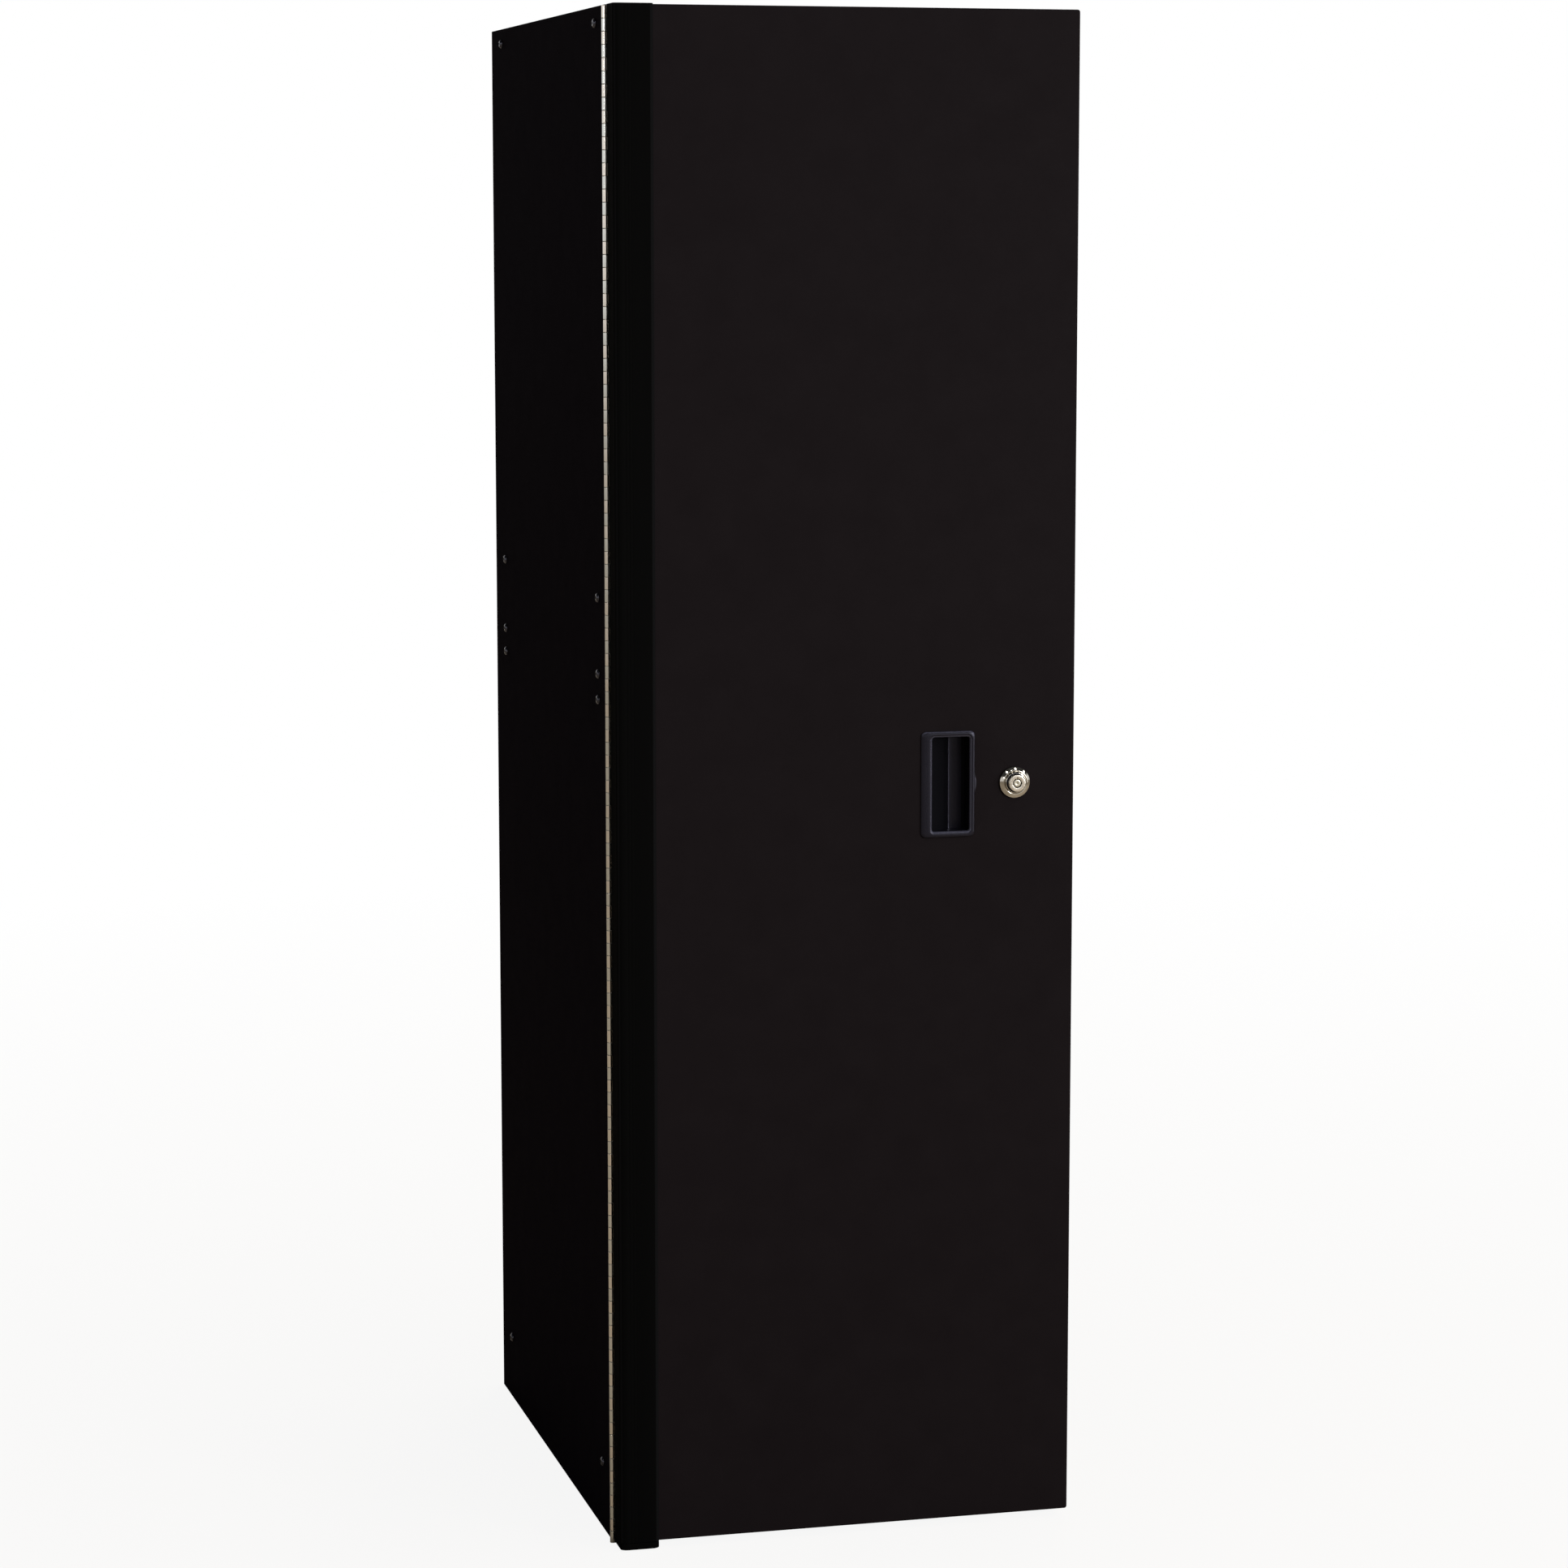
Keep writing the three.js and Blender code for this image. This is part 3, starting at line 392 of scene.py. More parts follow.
def add_piece(name, surface, materials, body, node, front_open=False):
    """Makes an object of a surface that rides on a body and stands for a CAD node.

    A surface that is open behind has its faces turned to the front, so that its thickness goes inwards.
    """
    mesh = bpy.data.meshes.new(name)
    mesh.from_pydata([place(point) for point in surface.points], [], surface.faces)
    work = bmesh.new()
    work.from_mesh(mesh)
    bmesh.ops.recalc_face_normals(work, faces=work.faces)
    if front_open:
        largest = max(work.faces, key=lambda face: face.calc_area())
        if largest.normal.y > 0:
            bmesh.ops.reverse_faces(work, faces=work.faces)
    work.to_mesh(mesh)
    work.free()
    for polygon in mesh.polygons:
        polygon.use_smooth = True
    mesh.set_sharp_from_angle(angle=SMOOTH_ANGLE)
    for material in materials:
        mesh.materials.append(material)
    piece = bpy.data.objects.new(name, mesh)
    bpy.context.scene.collection.objects.link(piece)
    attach(piece, body)
    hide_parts(node)
    return piece


def thicken(piece, thickness, side, even=True):
    """Gives a surface its thickness. An even one stays full at folds but makes spikes in tight corners."""
    solidify = piece.modifiers.new("thickness", "SOLIDIFY")
    solidify.thickness = thickness * MILLIMETRE
    solidify.offset = side
    solidify.use_even_offset = even


def soften(piece, width):
    """Rounds the sharp edges of a piece."""
    bevel = piece.modifiers.new("edges", "BEVEL")
    bevel.width = width * MILLIMETRE
    bevel.segments = EDGE_SEGMENTS
    bevel.limit_method = "ANGLE"
    bevel.angle_limit = SMOOTH_ANGLE
    bevel.use_clamp_overlap = True
    level_shading(piece)


def level_shading(piece):
    """Lets large flat faces keep a flat shade beside rounded edges."""
    normals = piece.modifiers.new("shading", "WEIGHTED_NORMAL")
    normals.keep_sharp = True


# Sizes that several pieces share.

# The gap that a piece keeps to what it sits on.
SEAT_GAP = 0.3
CUP_OPENING_X = (325.5, 365)
CUP_OPENING_Z = (727.5, 823.5)
# The cup goes a little further to the right under its lip.
CUP_INSIDE_END = 366.6
LOCK_AT = (412.75, 775.5)
BARREL_HOLE = 9.7


# Door skin: a pan of folded sheet, open behind.

SHEET = 1.2
DOOR_BEND = 2.0
BEND_STEPS = 5
DOOR_CORNER = 2.6
DOOR_LEAST_CORNER = 0.5
DOOR_LIP = 20
CUP_CUTOUT_MARGIN = 2.1
CUP_CUTOUT_CORNER = 1
BARREL_HOLE_SEGMENTS = 48

DOOR_X, DOOR_Y, DOOR_Z = span("door_skin")


def fill_flat(surface, loops):
    """Fills the flat space inside the first loop and outside the others."""
    work = bmesh.new()
    vertices = {}
    edges = []
    for loop in loops:
        for index in loop:
            vertices[index] = work.verts.new(surface.points[index])
        for index, following in zip(loop, loop[1:] + loop[:1]):
            edges.append(work.edges.new((vertices[index], vertices[following])))
    numbers = {vertex: index for index, vertex in vertices.items()}
    bmesh.ops.triangle_fill(work, use_beauty=True, use_dissolve=False, edges=edges)
    for face in work.faces:
        surface.faces.append(tuple(numbers[vertex] for vertex in face.verts))
    work.free()


def door_skin():
    fold = round_over(DOOR_BEND, BEND_STEPS)
    path = [(inset, DOOR_Y[0] + behind) for inset, behind in fold]
    path += [(inset, DOOR_Y[1] - before) for inset, before in reversed(fold)]
    path.append((DOOR_LIP, DOOR_Y[1]))
    rings = []
    for inset, y in path:
        corner = max(DOOR_CORNER - inset, DOOR_LEAST_CORNER)
        outline = rectangle(grown(DOOR_X, -inset), grown(DOOR_Z, -inset), corner)
        rings.append([(x, y, z) for x, z in outline])
    skin = Surface()
    loops = skin.loft(rings)
    cutout_x = grown((CUP_OPENING_X[0], CUP_INSIDE_END), CUP_CUTOUT_MARGIN)
    cutout_z = grown(CUP_OPENING_Z, CUP_CUTOUT_MARGIN)
    outline = rectangle(cutout_x, cutout_z, CUP_CUTOUT_CORNER)
    cutout = skin.loop([(x, DOOR_Y[0], z) for x, z in outline])
    circle = turned_rings([(BARREL_HOLE, DOOR_Y[0])], about_y(*LOCK_AT), BARREL_HOLE_SEGMENTS)[0]
    fill_flat(skin, [loops[0], cutout, skin.loop(circle)])
    piece = add_piece(
        "door_skin_pressed", skin, [DOOR_ENAMEL], "door", "door_skin", front_open=True
    )
    thicken(piece, SHEET, INWARDS)
    level_shading(piece)


# Trim extrusion on the door's hinge edge, and the cap under it.

TRIM_WIDTH = 40
TRIM_WALL = 1.8
# The rounded left corner and the bevel on the right: how far across and how far back.
TRIM_CURVE = (8, 4.5)
TRIM_CURVE_STEPS = 10
TRIM_BEVEL = (3.3, 1.8)
TRIM_FLUTES = (10.5, 14, 17.5)
FLUTE_HALF_WIDTH = 0.8
FLUTE_DEPTH = 0.22
# Share of a flute's width that its flat floor takes.
FLUTE_FLOOR = 0.45
# How far a face looks across, on the part of the curve and of the bevel where a paler finish gives a painted
# highlight.
CURVE_HIGHLIGHT_FACING = (0.5, 0.85)
BEVEL_HIGHLIGHT_FACING = (0.3, 0.8)
TRIM_ROUNDING = 0.3
CAP_ROUNDING = 2.2
CAP_ROUNDING_STEPS = 5

(TRIM_FRONT, TRIM_BACK), TRIM_Z = span("door_trim")[1:]
TRIM_SEAT = DOOR_Y[0] - SEAT_GAP


def trim_line(flutes):
    """The trim's outer line in x and y, from its rear edge round the front to its bevelled edge."""
    line = [(0, TRIM_BACK)]
    for back, across in round_over(1, TRIM_CURVE_STEPS):
        line.append((TRIM_CURVE[0] * across, TRIM_FRONT + TRIM_CURVE[1] * back))
    for flute in flutes:
        for share in (-1, -FLUTE_FLOOR, FLUTE_FLOOR, 1):
            deep = FLUTE_DEPTH if abs(share) < 1 else 0
            line.append((flute + share * FLUTE_HALF_WIDTH, TRIM_FRONT + deep))
    line.append((TRIM_WIDTH - TRIM_BEVEL[0], TRIM_FRONT))
    line.append((TRIM_WIDTH, TRIM_FRONT + TRIM_BEVEL[1]))
    return line


def door_trim():
    inside = [(TRIM_WIDTH, TRIM_SEAT), (TRIM_WALL, TRIM_SEAT), (TRIM_WALL, TRIM_BACK)]
    outline = trim_line(TRIM_FLUTES) + inside
    trim = prism([[(x, y, z) for x, y in outline] for z in TRIM_Z])
    materials = [BLACK_ANODISED, ANODISED_PAINTED_HIGHLIGHT]
    piece = add_piece("door_trim_extrusion", trim, materials, "door", "door_trim")
    # Faces of the curve and of the bevel that look across within these limits get the painted highlight.
    for polygon in piece.data.polygons:
        x = measured(polygon.center).x
        across, out = polygon.normal[:2]
        on_curve = x < TRIM_CURVE[0] and CURVE_HIGHLIGHT_FACING[0] < -across < CURVE_HIGHLIGHT_FACING[1]
        on_bevel = x > TRIM_WIDTH - TRIM_BEVEL[0] and BEVEL_HIGHLIGHT_FACING[0] < across < BEVEL_HIGHLIGHT_FACING[1]
        if out < 0 and (on_curve or on_bevel):
            polygon.material_index = materials.index(ANODISED_PAINTED_HIGHLIGHT)
    soften(piece, TRIM_ROUNDING)


def drawn_in(value, limits, inset):
    """A value moved to the middle of a range, by the inset at the range's ends and less between them."""
    middle = sum(limits) / 2
    half = (limits[1] - limits[0]) / 2
    return middle + (value - middle) * (1 - inset / half)


def trim_cap():
    """The cap follows the trim's line and is rounded under its bottom."""
    x_range, y_range, z_range = span("trim_cap")
    outline = trim_line(()) + [(TRIM_WIDTH, TRIM_BACK)]
    levels = [(inset, z_range[0] + up) for inset, up in round_over(CAP_ROUNDING, CAP_ROUNDING_STEPS)]
    levels.append((0, z_range[1]))
    rings = []
    for inset, z in levels:
        rings.append([(drawn_in(x, x_range, inset), drawn_in(y, y_range, inset), z) for x, y in outline])
    piece = add_piece("trim_end_cap", prism(rings), [CAP_PLASTIC], "door", "trim_cap")
    soften(piece, TRIM_ROUNDING)


# Continuous hinge: two leaves whose sheet curls round one pin.

HINGE_AT = (-1.4, -3.1)
# Which side of the pin a leaf's plate lies on.
CASE_SIDE = 1
DOOR_SIDE = -1
LEAF_SHEET = 1.27
LEAF_FAR_EDGE = 21.6
# Between its own knuckles a leaf is cut back to here, clear of the other leaf's.
LEAF_CLEARED = 1.7
LEAF_ROUNDING = 0.24
CURL_RADIUS = 2.165
CURL_TURN = math.radians(306)
CURL_STEPS = 17
KNUCKLES = 122
KNUCKLE_GAP = 0.2
HINGE_PIN_RADIUS = 1.2
HINGE_PIN_DOME = 0.5
HINGE_PIN_SEGMENTS = 20

HINGE_Z = span("hinge_pin")[2]


def leaf_line(side):
    """A leaf's middle line in x and y, from its far edge to the end of its curl."""
    plate = HINGE_AT[1] + side * CURL_RADIUS
    line = [(LEAF_FAR_EDGE, plate), (LEAF_CLEARED, plate), (HINGE_AT[0], plate)]
    for step in range(1, CURL_STEPS + 1):
        angle = step * CURL_TURN / CURL_STEPS
        x = HINGE_AT[0] - CURL_RADIUS * math.sin(angle)
        line.append((x, HINGE_AT[1] + side * CURL_RADIUS * math.cos(angle)))
    return line


def hinge_leaf(name, node, body, material, side, first_knuckle):
    """A leaf with every second knuckle. Its lowest one is number 0, at the bottom of the hinge, or 1."""
    line = leaf_line(side)
    pitch = (HINGE_Z[1] - HINGE_Z[0]) / KNUCKLES
    heights = []
    for knuckle in range(KNUCKLES):
        low = HINGE_Z[0] + knuckle * pitch
        heights.extend((low + KNUCKLE_GAP, low + pitch - KNUCKLE_GAP))
    leaf = Surface()
    numbers = {}

    def corner(column, row):
        if (column, row) not in numbers:
            numbers[column, row] = leaf.loop([(*line[column], heights[row])])[0]
        return numbers[column, row]

    for row in range(len(heights) - 1):
        knuckle, between_knuckles = divmod(row, 2)
        curls = not between_knuckles and knuckle % 2 == first_knuckle
        for column in range(len(line) - 1 if curls else 1):
            leaf.faces.append(
                (
                    corner(column, row),
                    corner(column + 1, row),
                    corner(column + 1, row + 1),
                    corner(column, row + 1),
                )
            )
    piece = add_piece(name, leaf, [material], body, node)
    thicken(piece, LEAF_SHEET, BOTH_WAYS)
    soften(piece, LEAF_ROUNDING)


def hinge_pin():
    bottom, top = HINGE_Z
    profile = [
        (HINGE_PIN_RADIUS - HINGE_PIN_DOME, bottom),
        (HINGE_PIN_RADIUS, bottom + HINGE_PIN_DOME),
        (HINGE_PIN_RADIUS, top - HINGE_PIN_DOME),
        (HINGE_PIN_RADIUS - HINGE_PIN_DOME, top),
    ]
    pin = prism(turned_rings(profile, about_z(*HINGE_AT), HINGE_PIN_SEGMENTS))
    add_piece("hinge_pin_rod", pin, [PLATED_STEEL], "cabinet", "hinge_pin")


# Cup pull: one moulding with a crowned flange, a rolled lip, a finger ramp and an undercut.

FLANGE_X = (314, 370.5)
FLANGE_SEAT = TRIM_SEAT
FLANGE_CORNER = 5
# Share of the way from the flange's edge to its lip, and how far the face drops there.
FLANGE_CROWN = ((0, 2), (0.05, 1.45), (0.12, 0.95), (0.22, 0.6), (0.36, 0.35), (0.56, 0.16), (0.8, 0.04))
# A low bump on the flange's right edge, beside the lock. It stands out a little less at its front.
BUMP_HEIGHT = 2.2
BUMP_FRONT_HEIGHT = 1.87
BUMP_THICKNESS = 0.3
BUMP_LENGTH = 22
BUMP_STEPS = 10
LIP_ROLL = 2.8
LIP_STRAIGHT = 0.4
LIP_DEPTH = LIP_ROLL + LIP_STRAIGHT
ROLL_STEPS = 4
LIP_X = grown(CUP_OPENING_X, LIP_ROLL)
LIP_Z = grown(CUP_OPENING_Z, LIP_ROLL)
CUP_CORNER = 2.5
CUP_FLOOR = -12.1
CUP_WALL = 1.08
FLOOR_CORNER = 0.6
FLOOR_INSET = 0.1
# How far behind the lip the ramp starts on the left and the undercut on the right.
RAMP_START = 0.8
UNDERCUT_DROP = 0.4
RAMP_END = 349.5
# A bead along the ramp's foot starts this far before the foot, and a round corner under the lip starts
# this far above the floor. Each later step is given past the foot and above the floor on the left, then
# inside the wall and above the floor on the right.
FOOT_START = 1.2
CORNER_START = 1.6
FOOT_STEPS = ((-0.6, 1.5, 0.15, 0.9), (0, 1.4, 0.4, 0.4), (0.5, 0.7, 0.8, 0.1), (0.8, 0, 1.4, 0))
# The flat of the floor: its start past the foot, and the x where it ends.
FLOOR_START = 0.9
FLOOR_END = 363
# Where the bead's faces with the painted highlight lie, past the foot and above the floor.
BEAD_PAST = (-0.7, 0.6)
BEAD_ABOVE = (0.2, 2)
# The flange turns over where its faces look to the front by less than FLANGE_EDGE. They belong to its top
# where they look up by more than FLANGE_TOP. Turned-over faces on the lip and on the top, and the bead,
# get a painted highlight in a paler plastic.
FLANGE_EDGE = 0.93
FLANGE_TOP = 0.3

PULL_Y, PULL_Z = span("handle_cup")[1:]
FLANGE_FRONT = PULL_Y[0]


def pull_ring(x, z, corner, left_y, right_y, bump=0):
    """One ring of the pull, seen from the front: a rounded rectangle with a bump on its right side."""
    outline = rectangle(x, z, corner, ROLL_STEPS)
    lower_right_end = 2 * (ROLL_STEPS + 1)
    side = []
    for step in range(BUMP_STEPS + 1):
        share = 2 * step / BUMP_STEPS - 1
        side.append((x[1] + bump * (1 - share**2), LOCK_AT[1] + share * BUMP_LENGTH / 2))
    outline[lower_right_end:lower_right_end] = side
    middle = (x[0] + x[1]) / 2
    return [(a, left_y if a < middle else right_y, b) for a, b in outline]


def between(first, second, share):
    return [near + (far - near) * share for near, far in zip(first, second)]


def flange_rings():
    """Rings from the flange's outer edge, over its crowned front and round its lip."""
    rings = []
    for y, bump in ((FLANGE_SEAT, BUMP_HEIGHT), (FLANGE_SEAT - BUMP_THICKNESS, BUMP_FRONT_HEIGHT)):
        rings.append(pull_ring(FLANGE_X, PULL_Z, FLANGE_CORNER, y, y, bump))
    for share, drop in FLANGE_CROWN:
        x_range = between(FLANGE_X, LIP_X, share)
        z_range = between(PULL_Z, LIP_Z, share)
        corner = FLANGE_CORNER + (CUP_CORNER + LIP_ROLL - FLANGE_CORNER) * share
        y = FLANGE_FRONT + drop
        rings.append(pull_ring(x_range, z_range, corner, y, y))
    for outset, behind in round_over(LIP_ROLL, ROLL_STEPS):
        x_range = grown(CUP_OPENING_X, outset)
        z_range = grown(CUP_OPENING_Z, outset)
        y = FLANGE_FRONT + behind
        rings.append(pull_ring(x_range, z_range, CUP_CORNER + outset, y, y))
    lip = FLANGE_FRONT + LIP_DEPTH
    rings.append(pull_ring(CUP_OPENING_X, CUP_OPENING_Z, CUP_CORNER, lip, lip))
    return rings


def cup_rings():
    """Rings inside the cup, down its ramp on the left and its undercut on the right to the floor."""
    lip = FLANGE_FRONT + LIP_DEPTH
    slope = (RAMP_END - CUP_OPENING_X[0]) / (CUP_FLOOR - lip)
    # Left edge and its depth, right edge and its depth.
    path = [
        (CUP_OPENING_X[0] + RAMP_START * slope, lip + RAMP_START, CUP_INSIDE_END, lip + UNDERCUT_DROP),
        (RAMP_END - FOOT_START, CUP_FLOOR - FOOT_START / slope, CUP_INSIDE_END, CUP_FLOOR - CORNER_START),
    ]
    for past, left_up, inside, right_up in FOOT_STEPS:
        path.append((RAMP_END + past, CUP_FLOOR - left_up, CUP_INSIDE_END - inside, CUP_FLOOR - right_up))
    rings = []
    for left, left_y, right, right_y in path:
        rings.append(pull_ring((left, right), CUP_OPENING_Z, FLOOR_CORNER, left_y, right_y))
    floor_x = (RAMP_END + FLOOR_START, FLOOR_END)
    floor_z = grown(CUP_OPENING_Z, -FLOOR_INSET)
    rings.append(pull_ring(floor_x, floor_z, FLOOR_CORNER, CUP_FLOOR, CUP_FLOOR))
    return rings


def handle_cup():
    cup = Surface()
    loops = cup.loft(flange_rings() + cup_rings())
    cup.cap(loops[-1])
    materials = [BLACK_PLASTIC, CUP_PLASTIC_PAINTED_SHADE, PLASTIC_PAINTED_HIGHLIGHT]
    piece = add_piece("cup_pull", cup, materials, "door", "handle_cup", front_open=True)
    for polygon in piece.data.polygons:
        x, y, z = measured(polygon.center)
        on_flange = y < FLANGE_FRONT + LIP_DEPTH
        on_floor = RAMP_END - FOOT_START < x < FLOOR_END
        past_foot = BEAD_PAST[0] < x - RAMP_END < BEAD_PAST[1]
        on_bead = past_foot and BEAD_ABOVE[0] < CUP_FLOOR - y < BEAD_ABOVE[1]
        on_lip = LIP_X[0] < x < LIP_X[1] and LIP_Z[0] < z < LIP_Z[1]
        turned_over = on_flange and polygon.normal.y > -FLANGE_EDGE
        # Painted highlight on the bead, the lip roll and the flange's upward turned-over faces.
        if on_bead or (turned_over and (on_lip or polygon.normal.z > FLANGE_TOP)):
            polygon.material_index = materials.index(PLASTIC_PAINTED_HIGHLIGHT)
        # Painted shade on the cup's inner walls off its floor: the ramp and the undercut.
        elif not on_flange and not on_floor:
            polygon.material_index = materials.index(CUP_PLASTIC_PAINTED_SHADE)
    thicken(piece, CUP_WALL, INWARDS, even=False)
    level_shading(piece)


# Key lock: a collar, a housing with a notched bore, and a spindle with a ring of pins in its post.

LOCK_SEGMENTS = 96
SLIGHT_ROUNDING = 0.1
COLLAR_RADIUS = 16
COLLAR_SLOPE = math.radians(33)
COLLAR_ROUNDING = 0.7
# The round bead at the collar's front: its middle, its own radius and how far it turns inwards.
BEAD_MIDDLE = 12.1
BEAD_RADIUS = 1.9
BEAD_INWARD = math.radians(40)
BEAD_STEPS = 10
HEAD_RADIUS = 8.7
HEAD_ROUNDING = 0.5
LOCK_FLANGE_RADIUS = 10.75
LOCK_FLANGE_RISE = 1.5
LOCK_FLANGE_ROUNDING = 0.7
# The gap between the flange and the collar's bead.
LOCK_FLANGE_GAP = 0.05
BARREL_RADIUS = 9.4
BARREL_ROUNDING = 0.4
BORE_RADIUS = 4.74
BORE_ROUNDING = 0.15
NOTCH_RADIUS = 6.3
NOTCH_HALF_ANGLE = math.radians(9)
NOTCH_DEPTH = 2.4
# The notch ends within this distance of its depth.
NOTCH_END = 0.05
# Faces this near to the front belong to the lock's face, and this far outside the head to its flange,
# whose ring has a painted shade.
FACE_REACH = 0.1
HEAD_SLACK = 0.02

SPINDLE_SEGMENTS = 48
POST_RADIUS = 3.7
# The dimple in the post's middle, as radius and depth, and the post's round edge, as inset and depth.
POST_DIMPLE = ((0.5, 0.7), (0.9, 0.1), (1.1, 0))
POST_EDGE = ((0.4, 0), (0.1, 0.1), (0, 0.4))
KEYWAY_DEPTH = 6
SPINDLE_RADIUS = 4.4
# The cam's seat is a square with its corners turned off and a chamfer at each end.
SEAT_RADIUS = 4.1
SEAT_HALF_FLATS = 2.9
SEAT_START_CHAMFER = 0.15
SEAT_END_CHAMFER = 0.1
STUD_RADIUS = 2
STUD_CHAMFER = 0.3
THREAD_DEPTH = 0.25
THREAD_PITCH = 0.7
THREAD_START = 0.1
THREAD_END = 0.2
KEY_PINS = 7
KEY_PIN_CIRCLE = 2.35
KEY_PIN_SEGMENTS = 14
# A pin's radius, and how far behind the post's front each of its rings lies.
KEY_PIN_PROFILE = ((0.2, -0.28), (0.4, -0.2), (0.5, -0.02), (0.5, 0.3))

COLLAR_Y = span("lock_collar")[1]
HOUSING_Y = span("lock_housing")[1]
CAM_Y = span("lock_cam")[1]
SPINDLE_Y = span("lock_spindle")[1]
SHOULDER = CAM_Y[0] - SEAT_GAP


def bead_point(turn):
    """A point of the collar's bead, in radius and y, where its surface looks outwards by an angle."""
    out = BEAD_MIDDLE + BEAD_RADIUS * math.sin(turn)
    return out, COLLAR_Y[0] + BEAD_RADIUS * (1 - math.cos(turn))


def lock_collar():
    bead = []
    for step in range(BEAD_STEPS + 1):
        bead.append(bead_point(-BEAD_INWARD + (COLLAR_SLOPE + BEAD_INWARD) * step / BEAD_STEPS))
    inside = bead[0][1]
    cone_start, cone_front = bead[-1]
    cone_back = cone_front + (COLLAR_RADIUS - cone_start) * math.tan(COLLAR_SLOPE)
    rim = rounded(
        [
            (BARREL_HOLE, inside, SLIGHT_ROUNDING),
            (cone_start, cone_front, SLIGHT_ROUNDING),
            (COLLAR_RADIUS, cone_back, COLLAR_ROUNDING),
            (COLLAR_RADIUS, COLLAR_Y[1], SLIGHT_ROUNDING),
            (BARREL_HOLE, COLLAR_Y[1], SLIGHT_ROUNDING),
        ]
    )
    # The bead takes the place of the second corner.
    corner_points = ARC_STEPS + 1
    profile = rim[:corner_points] + bead + rim[2 * corner_points :]
    collar = turned_tube(profile, about_y(*LOCK_AT), LOCK_SEGMENTS)
    add_piece("lock_collar_bezel", collar, [LOCK_CHROME], "door", "lock_collar")


def notched(radius, angle, along):
    """The bore has a notch at the top of its front end, which takes the key's tooth."""
    from_top = min(angle, 2 * math.pi - angle)
    in_front = along < HOUSING_Y[0] + NOTCH_DEPTH
    if in_front and from_top < NOTCH_HALF_ANGLE and radius < NOTCH_RADIUS:
        return NOTCH_RADIUS
    return radius


def lock_housing():
    face, back = HOUSING_Y
    flange_front = COLLAR_Y[0] - LOCK_FLANGE_RISE
    flange_back = bead_point(-BEAD_INWARD)[1] - LOCK_FLANGE_GAP
    outside = rounded(
        [
            (BORE_RADIUS, face, BORE_ROUNDING),
            (HEAD_RADIUS, face, HEAD_ROUNDING),
            (HEAD_RADIUS, flange_front, HEAD_ROUNDING),
            (LOCK_FLANGE_RADIUS, flange_front, LOCK_FLANGE_ROUNDING),
            (LOCK_FLANGE_RADIUS, flange_back, SLIGHT_ROUNDING),
            (BARREL_RADIUS, flange_back, SLIGHT_ROUNDING),
            (BARREL_RADIUS, back, BARREL_ROUNDING),
            (BORE_RADIUS, back, SLIGHT_ROUNDING),
        ]
    )
    notch_end = face + NOTCH_DEPTH
    bore = [(BORE_RADIUS, notch_end + NOTCH_END), (BORE_RADIUS, notch_end - NOTCH_END)]
    housing = turned_tube(outside + bore, about_y(*LOCK_AT), LOCK_SEGMENTS, notched)
    materials = [LOCK_CHROME, LOCK_FACE, LOCK_RING_PAINTED_SHADE]
    piece = add_piece("lock_barrel", housing, materials, "door", "lock_housing")
    dark_start = HEAD_RADIUS + HEAD_SLACK
    dark_end = LOCK_FLANGE_RADIUS - LOCK_FLANGE_ROUNDING
    # The flange's ring between the head and its rounding gets the painted shade.
    for polygon in piece.data.polygons:
        x, y, z = measured(polygon.center)
        from_axis = math.hypot(x - LOCK_AT[0], z - LOCK_AT[1])
        if y < face + FACE_REACH:
            polygon.material_index = materials.index(LOCK_FACE)
        elif y < flange_back and dark_start < from_axis < dark_end:
            polygon.material_index = materials.index(LOCK_RING_PAINTED_SHADE)


def seat_shape(radius, angle, along):
    """The spindle is square where the cam sits on it."""
    if SHOULDER < along < CAM_Y[1]:
        return min(radius, SEAT_HALF_FLATS / max(abs(math.sin(angle)), abs(math.cos(angle))))
    return radius


def lock_spindle():
    front, back = SPINDLE_Y
    profile = [(radius, front + depth) for radius, depth in POST_DIMPLE]
    profile += [(POST_RADIUS - inset, front + depth) for inset, depth in POST_EDGE]
    profile += [
        (POST_RADIUS, front + KEYWAY_DEPTH),
        (SPINDLE_RADIUS, front + KEYWAY_DEPTH),
        (SPINDLE_RADIUS, SHOULDER),
        (SEAT_RADIUS, SHOULDER + SEAT_START_CHAMFER),
        (SEAT_RADIUS, CAM_Y[1] - SEAT_END_CHAMFER),
        (STUD_RADIUS, CAM_Y[1]),
    ]
    along = CAM_Y[1] + THREAD_START
    while along + THREAD_PITCH < back - THREAD_END:
        profile.append((STUD_RADIUS - THREAD_DEPTH, along + THREAD_PITCH / 2))
        profile.append((STUD_RADIUS, along + THREAD_PITCH))
        along += THREAD_PITCH
    profile.append((STUD_RADIUS - STUD_CHAMFER, back))
    spindle = prism(turned_rings(profile, about_y(*LOCK_AT), SPINDLE_SEGMENTS, seat_shape))
    pin = [(radius, front + depth) for radius, depth in KEY_PIN_PROFILE]
    # The first pin is half a step from the top.
    for number in range(KEY_PINS):
        angle = (number + 0.5) * 2 * math.pi / KEY_PINS
        x = LOCK_AT[0] + KEY_PIN_CIRCLE * math.sin(angle)
        z = LOCK_AT[1] + KEY_PIN_CIRCLE * math.cos(angle)
        spindle.body(turned_rings(pin, about_y(x, z), KEY_PIN_SEGMENTS))
    add_piece("lock_plug", spindle, [PLATED_STEEL], "lock", "lock_spindle")


# Side screws, with a domed head and a hexagonal socket.

SCREWS = 10
SCREW_SEGMENTS = 36
SOCKET_HALF_FLATS = 1.6
SOCKET_DEPTH = 1.5
SOCKET_CHAMFER = 0.1
